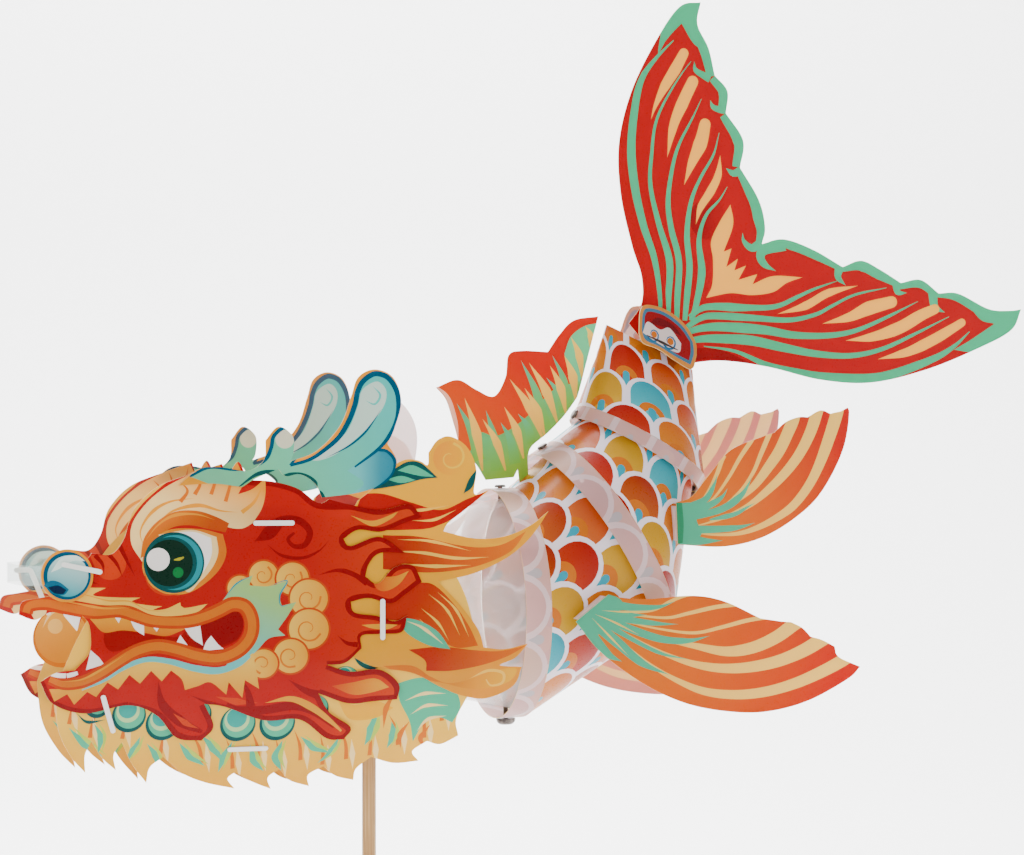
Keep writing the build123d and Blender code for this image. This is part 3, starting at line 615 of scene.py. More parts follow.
# orange lobes behind the mouth corner
lobes = [(-85, 14, 8, 80), (-72, 21, 9, 60), (-56, 19, 10, 40), (-47, 8, 11.5, 10), (-47, -9, 12, -20), (-57,
    -24, 10.5, -60), (-72, -28, 9, -100)]
for x, z, radius, start in lobes:
    face_zones += [
        disc(x, z, radius, tone(238, 88, 30)),
        disc(x, z, radius - 1.1, fade(APRICOT, CREAM, (x + radius, z), (x - radius, z))),
        spiral(x - 0.5, z, radius * 0.62, start, -1.1, 1.2, ORANGE),
    ]
face_zones += [
    # leaf behind the mouth
    patch([(-95, 7, C), (-87, 16), (-78, 21, C), (-80, 15.5, C), (-69, 15), (-59, 18, C), (-63, 10), (-62, 4,
        C),
           (-54, 6, C), (-59, -2), (-64, -9, C), (-60, -12.5, C), (-69, -14), (-76, -21), (-86, -29), (-94,
               -33, C),
           (-90, -24), (-78, -10), (-78, 2), (-84, 8)], fade(tone(170, 204, 142), tone(122, 200, 196), (-70,
               8), (-84, -26))),
    stroke([(-94, 8), (-87, 16.5), (-78, 21)], (0, 1, 0), SEA),
    stroke([(-69, 15), (-59, 18), (-63, 10), (-62, 4), (-54, 6)], (0, 1, 0), SEA),
    # jaw: teal line and cream beard
    patch([(-190, -40, C), (-176, -40), (-164, -36), (-151, -28.5), (-137, -24), (-124, -25), (-110, -29.5),
        (-97, -31.5),
           (-86, -28), (-78, -22, C), (-76, -31), (-74, -42, C), (-82, -37, C), (-83, -47, C), (-91, -38,
               C), (-92, -45, C),
           (-101, -38), (-108, -40), (-115, -42, C), (-117, -36), (-123, -31, C), (-128, -37, C), (-134, -31,
               C), (-140, -38, C),
           (-146, -33, C), (-152, -41, C), (-158, -37, C), (-164, -45, C), (-169, -42, C), (-176, -49,
               C), (-180, -43, C), (-187, -47, C)],
          fade(CREAM, APRICOT, (-130, -26), (-130, -44))),
    stroke([(-172, -41), (-160, -36), (-150, -29.5), (-137, -24.8), (-124, -26), (-110, -30), (-97, -31.5),
        (-86, -28), (-80, -23)], (0.5, 2.6, 3, 4, 3), tone(126, 202, 200)),
    # mouth
    patch([(-160, -10, C), (-152, -8), (-140, -10), (-128, -12), (-118, -12), (-112, -6), (-100, -4), (-92,
        1), (-86, 1),
           (-83, -6), (-86, -14), (-96, -19), (-108, -19), (-120, -16), (-134, -14.5), (-146, -18), (-156,
               -20), (-160, -15)], MOUTH_RED),
    patch([(-113, -6), (-100, -4), (-92, 1), (-86, 1), (-83, -6), (-87, -14), (-97, -18), (-108, -18), (-112,
        -12)], tone(180, 6, 18)),
    patch([(-170, 1, C), (-150, 2), (-134, -3), (-120, -4), (-110, -5), (-117, -9, C), (-126, -12), (-138,
        -10), (-150, -8.5), (-160, -9.5), (-166, -4)],
          fade(APRICOT, ORANGE, (-140, -2), (-140, -12))),
    patch([(-146, -2, C), (-138, -4, C), (-138, -11.5, C), (-143, -8)], WHITE),
    patch([(-155, 0, C), (-150, 0, C), (-152, -4.5, C)], WHITE),
    patch([(-135, -4.5, C), (-129, -6, C), (-131, -9.5, C)], WHITE),
    patch([(-118, -4, C), (-107, -6, C), (-105.5, -17.5, C), (-112, -13)], WHITE),
    patch([(-121, -17.5, C), (-118, -11.5, C), (-113, -18.5, C)], WHITE),
    patch([(-105.5, -20.5, C), (-104, -16), (-101, -12, C), (-97, -17), (-94, -19.5, C)], WHITE),
    patch([(-170, -30, C), (-167.5, -19, C), (-163, -23), (-160, -27, C)], WHITE),
    patch([(-184, 4, C), (-172, 3, C), (-175, -9, C), (-180, -4)], WHITE),
    patch([(-201, 3, C), (-191, 5, C), (-193, 0), (-198, -2.5, C)], PALE),
    # lips
    stroke(lip_path, (7.6, 8, 8, 8, 8.4, 8.4, 8, 7.6, 6), tone(240, 84, 20)),
    stroke(lip_path, (4, 4.6, 4.6, 4.6, 4.6, 4.6, 4.6, 4.4, 3), ORANGE),
    stroke([(-186, 8.8), (-176, 6.8), (-160, 3.8), (-146, 4)], (0, 1.4, 0), APRICOT),
    stroke([(-184, -36), (-172, -35), (-160, -29), (-148, -21.5)], (0, 1.4, 0), APRICOT),
    stroke([(-189, -31.6), (-185, -32.6), (-181, -32.8)], (2.6, 2.6, 2.6), WHITE),
    stroke([(-180.5, -32.9), (-177, -32.2), (-174.5, -31.4)], (2.4, 2.6, 2), WHITE),
    # moustache
    patch([(-190, 11, C), (-178, 15), (-159, 15, C), (-166, 11), (-152, 9.6), (-140, 9.4, C), (-145, 7),
        (-135, 5), (-128, 4.5, C),
           (-133, 2.5), (-126, 3), (-118, 6.5, C), (-116, 3.4), (-103, 5.5, C), (-109, 1), (-122, -1), (-134,
               0), (-146, 5),
           (-160, 5.5), (-172, 7.5), (-182, 9.5)], CREAM),
    stroke([(-184, 11.6), (-172, 11.6), (-158, 8), (-146, 7.4), (-136, 2.6), (-124, 1.6)], (0, 1, 0),
        APRICOT),
]

for side, mirror in (("left", False), ("right", True)):
    printed_sheet(f"face_print_{side}", face_edge, face_zones, cheek(2), "head", f"face_{side}", print_film,
        mirror, back=0.08)

# ---------------------------------------------------------------- horns
horn_edge = outline([
    [(-119, 71), (-108, 80), (-96, 81), (-81, 79), (-72, 85)],
    [(-71, 96), (-64, 103.5), (-56, 98), (-56, 88)],
    [(-58, 84), (-43, 90), (-30, 104), (-24, 120), (-20, 131), (-11, 135.4), (-1, 131), (3.5, 118), (0, 103)],
    [(-4, 94), (1, 84), (-4, 73), (-19, 67)],
    [(-40, 64), (-44, 72), (-52, 77), (-60, 76)],
    [(-64, 80), (-76, 75)],
    [(-84, 70), (-100, 72)],
])
knob_line = [(-113, 76), (-102, 81), (-88, 80), (-78.5, 81.3), (-71, 85.5), (-68, 92), (-66.7, 98), (-61.5,
    102.8),
             (-57, 102.4), (-53, 98.3), (-52, 93), (-53.7, 87.3), (-57.5, 82)]
horn_line = [(-57.5, 82), (-47.3, 85), (-39.7, 89.7), (-31, 97.3), (-25.3, 106.7), (-21.8, 116), (-20.5,
    122.7),
             (-17.6, 128.6), (-12.4, 132.5), (-8.3, 132.8), (-3.2, 130.3), (1, 123.5), (2.2, 116), (1.3,
                 107.5),
             (-2.6, 99), (-9, 91), (-22, 81)]
tip_line = [(-9, 90.5), (-4.3, 89.8), (0, 84.7), (-0.5, 78), (-4.4, 73), (-11.2, 68.2), (-21.5, 65.2), (-30,
    63.5)]
horn_teal = fade(tone(140, 204, 168), tone(112, 198, 190), (-80, 84), (-4, 110))
horn_zones = [
    (horn_edge, APRICOT),
    patch([(*point, C) if i in (0,) else point for i, point in enumerate(
        knob_line + horn_line[1:-1] + tip_line[1:] + [(-44, 60), (-80, 64)])], horn_teal),
    disc(-60.5, 96.5, 5.2, tone(214, 212, 192)),
    patch([(-48, 85, C), (-36, 91.5), (-27.7, 99), (-23.5, 106), (-20, 116), (-18.5, 122.7), (-15, 126.5),
        (-9.3, 128.6),
           (-5, 124.4), (-5, 117.7), (-9, 110), (-17.6, 100), (-31, 89), (-41, 84.8)], PALE_TEAL),
    patch([(-26, 79, C), (-13, 88), (-6, 90.5), (0, 85), (-0.5, 77), (-6, 72), (-14, 68), (-24, 66, C), (-17,
        72)], fade(tone(128, 196, 196), tone(70, 152, 172), (-20, 0), (-6, 0))),
    stroke([(-7.5, 113), (-12, 106), (-17.5, 99), (-25.7, 92.4), (-38, 86)], (0, 1.2, 1, 0), DARK_TEAL),
    stroke([(-16, 118), (-11, 116), (-8, 121), (-12, 126)], (0, 1.2, 1.2, 0), horn_teal),
    stroke(knob_line, (1.4, 2.2, 2.2, 2.2, 1.4), DARK_TEAL),
    stroke(horn_line, (1.6, 2.8, 3, 2.8, 1), DARK_TEAL),
    stroke(tip_line, (1.6, 2.4, 2.2), DARK_TEAL),
    patch([(-86, 70, C), (-76, 77), (-67, 78.5), (-64.5, 73, C), (-58, 77), (-50, 76.5), (-43, 72), (-44,
        66.5, C),
           (-39, 66), (-38, 60, C), (-60, 60)], fade(LEAF, GREEN, (-80, 0), (-46, 0))),
    stroke([(-86, 70), (-76, 77), (-67, 78.5), (-63, 77), (-64.5, 73)], (0.6, 2.4, 1.8), DARK_GREEN),
    stroke([(-64.5, 74), (-58, 77), (-50, 76.5), (-43.5, 72), (-45, 67), (-41, 67), (-38, 62)], (1.4, 2.4,
        1.8), DARK_GREEN),
]

# ---------------------------------------------------------------- mane
mane_edge = outline([
    [(-186, -40), (-184, -62), (-176, -78)],
    [(-167, -88), (-168, -78)],
    [(-165, -70), (-158, -80)],
    [(-150, -87), (-152, -78)],
    [(-148, -71), (-141, -84)],
    [(-132, -95), (-131, -86)],
    [(-124, -80), (-112, -90), (-98, -96)],
    [(-81, -100), (-86, -94)],
    [(-82, -90), (-72, -96)],
    [(-60, -101), (-63, -94)],
    [(-57, -89), (-50, -96)],
    [(-38, -100), (-40, -93)],
    [(-32, -88), (-24, -94)],
    [(-13, -97), (-13, -90)],
    [(-6, -83), (8, -87)],
    [(22, -86), (17, -80)],
    [(24, -74), (32, -76)],
    [(41, -71), (38, -60), (44, -40), (44, -10), (34, 20), (10, 44), (-30, 54)],
    [(-70, 62), (-110, 58), (-140, 40), (-160, 12), (-176, -16)],
])
mane_zones = [(mane_edge, fade(tone(254, 214, 112), tone(253, 190, 74), (0, -60), (0, -100)))]
# tufts: an orange line from each notch, and a pale heart
for x, z, lean in ((-178, -60, -6), (-166, -68, -4), (-148, -69, -5), (-126, -78, -4), (-102, -84, 8), (-84,
    -88, 6),
                   (-70, -84, 6), (-58, -88, 4), (-46, -84, 6), (-33, -87, 4), (-20, -84, 6), (-7, -82,
                       4), (8, -76, 8),
                   (22, -72, 6), (30, -62, 6)):
    mane_zones.append(stroke([(x, z), (x - lean * 0.3, z + 9), (x - lean, z + 18)], (2.4, 1.8, 0), ORANGE))
    mane_zones.append(stroke([(x + 5, z - 6), (x + 3, z + 3), (x + 1, z + 12)], (0, 3.4, 0), PALE))
for points, widths in (
    ([(-178, -62), (-170, -70), (-158, -79)], (0, 5, 0)), ([(-164, -60), (-160, -68), (-161, -78)], (0, 4,
        0)),
    ([(-138, -68), (-141, -76), (-146, -83)], (0, 5, 0)), ([(-134, -72), (-128, -80), (-127, -88)], (0, 4,
        0)),
    ([(-116, -72), (-110, -79), (-100, -86)], (0, 5, 0)), ([(-104, -68), (-96, -76), (-90, -84)], (0, 5, 0)),
    ([(-86, -72), (-90, -82), (-92, -90)], (0, 5, 0)), ([(-76, -74), (-72, -84), (-66, -90)], (0, 5, 0)),
    ([(-58, -72), (-60, -82), (-56, -90)], (0, 6, 0)), ([(-48, -70), (-40, -76), (-30, -80)], (0, 5, 0)),
    ([(-26, -70), (-30, -80), (-36, -86)], (0, 4, 0)), ([(-8, -56), (-8, -66), (-11, -76)], (0, 7, 0)),
    ([(2, -62), (4, -70), (2, -78)], (0, 5, 0)),
):
    mane_zones.append(stroke(points, widths, GREEN))
    shifted = [(x + 2.2, z + 0.8) for x, z in points]
    mane_zones.append(stroke(shifted, [width * 0.5 for width in widths], tone(190, 208, 110)))
for points, paint in (
    ([(3, -40, C), (14, -37), (27, -38), (35, -44), (39, -54), (36, -63, C), (28, -60), (20, -64), (16, -74,
        C), (12, -62), (5, -50)], GREEN),
    ([(6, -2, C), (14, -5), (24, -11), (31, -21, C), (20, -19), (11, -15), (6, -10)], GREEN),
    ([(5, -20, C), (13, -24), (21, -33, C), (12, -31), (6, -27)], GREEN),
    ([(-30, -48, C), (-20, -52), (-8, -50), (2, -54, C), (-8, -60), (-22, -60)], YELLOW),
):
    mane_zones.append(patch(points, paint))
for points in ([(8, -50), (18, -46), (30, -46)], [(12, -58), (20, -53), (32, -53)], [(17, -68), (22, -61),
    (32, -59)],
               [(8, -4), (16, -9), (27, -18)], [(7, -10), (14, -14), (22, -18)], [(7, -22), (13, -26), (19,
                   -31)]):
    mane_zones.append(stroke(points, (0, 2.2, 0), PALE))
for points in ([(3, -44), (-2, -54), (-2, -66)], [(12, -62), (8, -70), (10, -78)], [(24, -64), (20, -72), (24,
    -78)]):
    mane_zones.append(stroke(points, (0, 3.4, 0), ORANGE))
# rounded teal scales along the jaw and in the fringe's gaps
for x, z, radius in ((-163, -50, 7), (-145, -56, 9.5), (-126, -61, 9.5), (-107, -56, 8), (-84, -62, 10), (-62,
    -62, 10),
                     (-42, -54, 8), (-14, 2, 10), (-12, -22, 10), (-8, 24, 8), (-18, 42, 9), (-26, -38, 8)):
    mane_zones += [
        disc(x, z, radius, DARK_GREEN),
        disc(x + 0.3, z + 1.0, radius - 1.2, GREEN),
        disc(x - 0.6, z + 2.6, radius - 3.0, tone(196, 220, 170)),
        disc(x - 0.8, z + 3.6, radius - 4.4, tone(70, 172, 160)),
    ]
mane_zones.append(stroke([(-174, -54), (-168, -59), (-158, -58)], (0, 2, 0), DARK_GREEN))

# ---------------------------------------------------------------- flames behind the cheek
flame_edge = outline([
    [(-20, 62), (-9, 71), (-2, 80), (6, 85), (14, 84.5), (18.5, 82)],
    [(19, 89), (24, 96), (31, 98), (40, 92), (45, 80), (44, 66)],
    [(52, 68), (40, 58), (30, 50)],
    [(27, 45), (44, 41), (60, 42), (74, 48)],
    [(84, 56), (77, 45), (69, 36), (58, 28), (42, 21)],
    [(24, 17), (36, 4), (46, -10)],
    [(49, -20), (60, -21)],
    [(73, -18), (66, -26), (58, -30)],
    [(70, -31), (66, -42), (52, -49), (38, -47)],
    [(26, -42), (10, -34), (-12, -30)],
    [(-30, -20), (-34, 10), (-30, 40)],
])
flame_red = tone(226, 56, 24)
flame_zones = [
    (flame_edge, fade(YELLOW, tone(252, 170, 60), (10, 60), (60, -40))),
    patch([(-18, 66, C), (-6, 66), (10, 61), (26, 57), (40, 63), (50, 67, C), (38, 56), (26, 49), (12, 46),
        (-20, 48)], tone(228, 34, 26)),
    stroke([(0, 57), (16, 57), (30, 59.5)], (0, 1.8, 0), CREAM),
    stroke([(10, 51), (22, 51.5), (34, 57)], (0, 1.8, 0), CREAM),
    patch([(-6, 43, C), (14, 42), (34, 37.5), (48, 36), (60, 38), (72, 45, C), (64, 34), (50, 27), (36, 23.5),
        (18, 22), (-6, 24, C)],
          fade(flame_red, tone(252, 142, 54), (4, 0), (70, 0))),
    stroke([(2, 40.5), (20, 39.5), (42, 34)], (0, 1.8, 0), CREAM),
    stroke([(0, 34), (16, 33), (34, 30), (52, 30.5)], (0, 1.8, 1.8, 0), CREAM),
    stroke([(4, 27), (22, 25.5), (42, 26)], (0, 2.2, 0), CREAM),
    stroke([(44, 38.5), (56, 37.5), (66, 41)], (0, 1.4, 0), YELLOW),
    patch([(-4, 22, C), (12, 17), (22, 15), (33, 4), (41, -8), (46, -19, C), (34, -20), (22, -14), (10, -6),
        (-6, -4, C)],
          fade(flame_red, tone(246, 116, 44), (10, 4), (44, -14))),
    stroke([(19, 10), (29, 1), (36, -13)], (0, 1.6, 0), CREAM),
    stroke([(24, 11), (34, 1), (41, -14)], (0, 1.6, 0), CREAM),
    stroke([(15, 2), (24, -6), (30, -16)], (0, 1.6, 0), CREAM),
    stroke([(14, -4), (21, -11), (26, -17)], (0, 1.4, 0), CREAM),
    patch([(8, -21, C), (26, -19.5), (44, -21.5), (58, -22), (72, -19, C), (62, -25), (48, -30), (32, -33),
        (18, -33, C), (17, -27)],
          fade(flame_red, tone(248, 132, 52), (20, 0), (66, 0))),
    patch([(-6, -30, C), (10, -30), (20, -36, C), (30, -40), (42, -38), (56, -33), (67, -32), (64, -39), (52,
        -43), (40, -43), (28, -40), (8, -36)],
          fade(ORANGE, YELLOW, (24, 0), (66, 0))),
    stroke([(42, -37.5), (52, -33), (60, -34.5), (60, -40), (54, -41.5), (51, -38)], (0, 1.6, 1.6, 1.4, 0.6),
        CREAM),
    disc(31, 86, 9.6, fade(APRICOT, YELLOW, (24, 90), (40, 84))),
    spiral(31, 86, 8.4, 80, -1.0, 1.4, tone(250, 214, 90)),
    patch([(-14, 68, C), (-6, 75), (2, 81), (8, 84), (15, 83), (24, 75, C), (15, 74), (4, 71)], DARK_GREEN),
    patch([(2, 79, C), (9, 82), (15, 80), (22, 75.5, C), (14, 76)], GREEN),
    patch([(-4, 74, C), (4, 76), (12, 73.6, C), (4, 72)], GREEN),
    patch([(38, 66, C), (43, 70), (45.5, 80, C), (41, 74)], DARK_GREEN),
    patch([(5, -3, C), (14, -5), (24, -11), (31, -21, C), (20, -19), (10, -14), (5, -9)], GREEN),
    stroke([(7, -5), (16, -9), (27, -18)], (0, 2, 0), PALE),
]

# ---------------------------------------------------------------- nose, pearl
nose_x, nose_z, nose_radius = -181.0, 22.0, 14.5
nose_edge = disc(nose_x, nose_z, nose_radius, WHITE)[0]
nose_zones = [
    (nose_edge, APRICOT),
    disc(nose_x, nose_z, nose_radius - 1.4, DARK_TEAL),
    disc(nose_x + 0.4, nose_z - 0.2, nose_radius - 3.2, fade(tone(206, 226, 220), tone(88, 178, 188), (-178,
        32), (-184, 12))),
    patch([(-190, 24, C), (-184, 32), (-176, 33), (-171, 30, C), (-178, 30), (-185, 26)], tone(226, 238,
        232)),
    patch([(-194, 17, C), (-189, 12.5), (-183, 11.5), (-180, 14.5, C), (-185, 18.5), (-190, 19.5)], tone(34,
        120, 150)),
    patch([(-191.5, 15.8, C), (-188, 12.6), (-183, 12.2), (-181.4, 14.2, C), (-186, 16.8)], tone(6, 44, 84)),
]
pearl_x, pearl_z, pearl_radius = -177.0, -14.0, 16.5
pearl_edge = disc(pearl_x, pearl_z, pearl_radius, WHITE)[0]
pearl_zones = [
    (pearl_edge, tone(244, 152, 56)),
    disc(pearl_x - 0.5, pearl_z + 0.8, 14.8, fade(tone(253, 206, 120), tone(248, 176, 84), (-170, -4), (-184,
        -28))),
    disc(pearl_x - 4, pearl_z + 6.5, 4.2, tone(255, 226, 160)),
    stroke([(-188, -8), (-184, -1), (-177, 2)], (0, 1.6, 0), tone(255, 238, 190)),
]

for side, mirror in (("left", False), ("right", True)):
    for kind, edge, zones, layer in (
        ("mane", mane_edge, mane_zones, 0),
        ("flame", flame_edge, flame_zones, 1),
        ("horn", horn_edge, horn_zones, 3),
    ):
        printed_sheet(f"{kind}_print_{side}", edge, zones, cheek(layer), "head", f"{kind}_{side}", print_film,
            mirror, back=0.08)
    printed_sheet(f"nose_print_{side}", nose_edge, nose_zones, upright(35.52), "head", None, print_film,
        mirror, 0.15, back=0.08)
printed_sheet("pearl_print", pearl_edge, pearl_zones, upright(-0.3), "head", "pearl", print_film, thick=0.6,
    back=0.1)

# ---------------------------------------------------------------- tail
TAIL_RED = tone(230, 24, 30)
TAIL_GREEN = tone(92, 190, 150)
TAIL_CREAM = tone(253, 206, 122)
tail_edge = outline([
    [(158, 164), (166, 176), (166, 192), (160, 210), (153, 240), (152, 270), (160, 301), (176, 332), (190,
        351)],
    [(203, 354), (201, 341), (208, 327)],
    [(212, 311), (220, 302)],
    [(219, 289), (230, 273)],
    [(228, 257), (240, 238), (244, 222)],
    [(242, 212), (256, 215), (275, 209)],
    [(294, 199), (306, 203), (318, 198)],
    [(332, 190), (345, 192)],
    [(357, 184), (370, 184), (390, 175), (404, 174)],
    [(412, 175), (405, 162), (382, 150.5), (349, 138), (313, 130), (280, 131.5), (246, 139), (217, 142.5)],
    [(196, 141), (188, 131)],
])
tail_zones = [
    (tail_edge, TAIL_RED),
    disc(208, 226, 12, fade(tone(196, 10, 24), TAIL_RED, (203, 226), (220, 226))),
    stroke([(190, 146), (214, 146), (240, 139)], (8, 6, 0), tone(190, 8, 20)),
]
for points, widths in (
    ([(177.4, 166), (177.4, 180), (174, 201.8), (167.1, 221.6), (162, 242.5), (159.5, 264.8), (161.2, 287),
        (165.4, 306.2), (174, 319), (186, 331)],
     (2, 3, 4, 4.6, 5.2, 5.4, 5, 4.4, 2.6, 0.6)),
    ([(183, 166), (182.8, 180), (183.3, 201), (176.5, 223.3), (171.4, 245.6), (172.3, 264.7), (174.4, 280.6),
        (179.6, 293.4), (189.3, 309), (197, 319)],
     (2, 4, 4.4, 3.6, 3, 2.4, 2, 1.6, 1.2, 0.4)),
    ([(188, 166), (188.4, 180), (189.3, 201), (184.5, 220), (182.5, 236), (185, 255), (189.3, 269.5), (197.8,
        285.4), (203.5, 297)],
     (3, 4, 4, 3.8, 3.2, 2.6, 2, 1.4, 0.4)),
    ([(193, 166), (194.4, 180), (196, 197.7), (194.4, 216.8), (196.9, 236), (202.9, 250.3), (211, 264),
        (214.8, 277.4)],
     (3, 4, 4, 3.6, 2.8, 2, 1.6, 0.4)),
    ([(197, 166), (200.3, 176), (203.7, 194.5), (202, 213.6), (206.3, 228), (214.8, 237.5), (219.9, 245.5)],
        (3, 4, 5, 3.6, 2.4, 1.6, 0.4)),
    ([(196, 168), (203, 173), (211.6, 174.5), (232, 174), (251, 175), (266.3, 181.5), (276.6, 186), (290,
        190.5)], (3, 4, 5, 3.6, 3, 2.4, 1.6, 0.4)),
    ([(194, 162), (203, 167.5), (211.6, 169), (235.6, 168), (259.5, 167), (276.6, 170.5), (286.8, 175.5),
        (302, 182.5), (322.7, 187)],
     (3, 4, 4.4, 3.6, 3, 2.4, 1.8, 1.4, 0.4)),
    ([(192, 158), (203, 161.5), (216.8, 162.5), (242.4, 161), (262.9, 158), (285, 158), (302.2, 161), (321,
        168.5), (343.2, 179)],
     (3, 5, 6, 5, 4, 3.4, 2.6, 1.8, 0.4)),
    ([(192, 153), (203, 155.2), (216.8, 155.5), (235.6, 154.5), (256, 150.5), (276.6, 147), (298.8, 146),
        (319.3, 150), (341.5, 159.5), (363.8, 170)],
     (3, 5, 6, 5.4, 4.4, 3.6, 3, 2.4, 1.6, 0.4)),
    ([(205, 151), (225.3, 148), (245.8, 140), (268, 135), (285, 133), (310.8, 132.5), (328, 135.5), (353.5,
        144.5), (367, 152), (377.4, 161)],
     (0.6, 2, 3.4, 5, 5.4, 5.6, 5.6, 5, 3.4, 0.6)),
    # scalloped trailing edges and their hooks
    ([(176, 322), (182, 338), (190, 351), (203, 354), (201, 341), (208, 327), (212, 311)], (0, 6, 10, 12, 12,
        12, 10)),
    ([(212, 311), (220, 302), (219, 289)], (9, 12, 10)), ([(219, 289), (230, 273), (228, 257)], (9, 13, 10)),
    ([(228, 257), (240, 238), (244, 222), (242, 212)], (7, 12, 14, 8)),
    ([(209, 309), (204.7, 311), (199.7, 314), (199, 319)], (5, 4, 3, 0)),
    ([(219, 291), (215, 291), (210.8, 292.5), (209, 296.5)], (5, 4, 3, 0)),
    ([(228, 255), (223.6, 253.5), (219, 256.5)], (5, 4, 0)),
    ([(242, 213), (235.6, 209.5), (230.4, 213.5), (229.6, 218.5)], (6, 5, 3, 0)),
    ([(251, 196), (244, 199.5), (241, 204.5), (244, 209), (256, 213)], (0, 4, 6, 8, 10)),
    ([(244, 211), (256, 215), (275, 209), (294, 199)], (6, 11, 10, 6)),
    ([(293, 199), (306, 203), (318, 198), (332, 190)], (6, 13, 12, 7)), ([(292, 199), (291, 193), (296, 188)],
        (6, 4, 0)),
    ([(330, 190), (345, 192), (357, 184)], (8, 10, 8)), ([(329, 191), (330, 184.5), (336, 184)], (6, 4, 0)),
    ([(354, 185), (370, 184), (390, 175), (404, 174)], (6, 10, 12, 14)), ([(353, 184), (354.4, 176), (361,
        172.5)], (6, 5, 0)),
):
    tail_zones.append(stroke(points, widths, TAIL_GREEN))
tail_zones += [
    patch([(176, 324, C), (179, 336), (190, 353), (204, 356, C), (200, 340), (207, 326, C), (199, 329), (191,
        341, C), (184, 334)], TAIL_GREEN),
    patch([(372, 184, C), (388, 178), (414, 177, C), (408, 164), (394, 155), (380, 149), (367, 150, C), (378,
        156), (394, 166, C), (384, 169)], TAIL_GREEN),
    patch([(221.9, 235, C), (223.6, 223), (217.6, 207, C), (222.6, 209, C), (219.3, 198, C), (226.6, 203, C),
        (224.4, 196, C),
           (231.8, 199, C), (227, 190.5, C), (239, 194, C), (236, 188, C), (249.2, 193), (268, 192.5,
               C), (257.8, 189),
           (249.2, 183.5), (235.6, 181.5), (221.9, 182.5), (206.5, 179.5, C), (210.3, 187.5), (210.8,
               202), (209.6, 213), (215, 224.5)], TAIL_CREAM),
]
for points, widths in (
    ([(171.8, 284), (174.5, 292), (180, 303), (187, 314), (192.4, 323.5)], (0, 3, 6, 7, 6)),
    ([(182, 262), (186, 281), (192, 295), (198, 307)], (0, 5, 7.4, 7)),
    ([(192.6, 246), (197.5, 259), (203, 271), (205.8, 282)], (0, 5, 8.6, 7)),
    ([(200, 223), (203, 233), (209, 242), (214, 252), (215.4, 264)], (0, 4.4, 5.4, 4.4, 0)),
    ([(252, 170.5), (269.7, 175.5), (285, 183.5), (304, 188)], (0, 5, 4.6, 0)),
    ([(281, 165), (298, 169), (311, 174.5), (326, 178.5)], (0, 5, 8.4, 7)),
    ([(296, 155), (314, 157.5), (331, 163), (345, 170.5), (354.4, 174.5)], (0, 5, 7.4, 7.4, 6)),
    ([(317, 144), (336.4, 148.5), (353.5, 156), (365.4, 162.5), (372.3, 166.5)], (0, 4.6, 6.6, 6.4, 5)),
):
    tail_zones.append(stroke(points, widths, TAIL_CREAM))
    if widths[-1]:
        tail_zones.append(disc(*points[-1], widths[-1] / 2, TAIL_CREAM))
printed_sheet("tail_print", tail_edge, tail_zones, upright(-0.3), "tail_fin", "tail_fin", fin_film, thick=0.6,
    grid=9, back=0.12)

# ---------------------------------------------------------------- side fins
FIN_CREAM = tone(254, 222, 142)
pectoral_edge = outline([
    [(100.5, -6)],
    [(120, 9), (128, 7), (144, 6), (171, 7.5), (190, 4)],
    [(212, -6), (225, -8)],
    [(231, -8.5), (238, -12)],
    [(243, -17), (250, -19)],
    [(258, -23), (260.5, -29)],
    [(274, -35), (266, -42), (241, -54), (215, -59.5), (190, -58.5), (165, -53), (140.5, -41.5), (116, -24)],
])
pectoral_zones = [(pectoral_edge, fade(tone(253, 140, 46), tone(252, 58, 42), (140, -10), (262, -24)))]
for points, widths in (
    ([(240, -6), (234, -9), (221.7, -17), (206.8, -22.8), (190.7, -24.5), (172, -21), (155.9, -17.5), (141,
        -13.5), (128.6, -8.5), (116, -2)],
     (8, 7.6, 7, 6.4, 5, 3.4, 2.2, 1.6, 1, 0)),
    ([(258, -14), (251.5, -18), (237.9, -25.3), (221.7, -31), (203, -34), (184.5, -33.7), (165.8, -29.7),
        (147.2, -22.3), (131, -13.7), (118.6, -6.3)],
     (8.6, 8, 7, 6.4, 5.6, 4.6, 3, 2, 1, 0)),
    ([(272, -25), (265, -30), (251.5, -36.7), (234, -43.5), (215.5, -48), (197, -49.3), (178, -47), (161,
        -40.3), (144.7, -31), (128.6, -18.7), (113.7, -7.3)],
     (7.6, 7.2, 6.6, 6, 5.6, 5, 4, 2.6, 1.6, 1, 0)),
    ([(228, -5), (215, -5.6), (203, -7.3), (188.2, -10.7), (172, -13.6), (153.4, -11.5), (134.8, -7.6), (120,
        -3)], (2, 2.4, 2.4, 2, 1.6, 1.2, 0.8, 0)),
    ([(206, 2), (200.6, 2.2), (185.7, 1), (168.3, -2.4), (155.9, -4.7), (141, -3.6), (122.4, -1)], (2, 2.4,
        2.4, 2, 1.4, 1, 0)),
    ([(172, 8.5), (165.8, 7.6), (157, 4.5), (147.2, -0.2), (134.8, -1.5), (122.4, 0)], (2, 2, 1.8, 1.2, 0.8,
        0)),
):
    pectoral_zones.append(stroke(points, widths, FIN_CREAM))
pectoral_zones.append(patch([(100, -6, C), (109, 2), (120, 10, C), (128, 5), (124, -1), (118, -8), (112, -15),
    (106, -12)], GREEN))
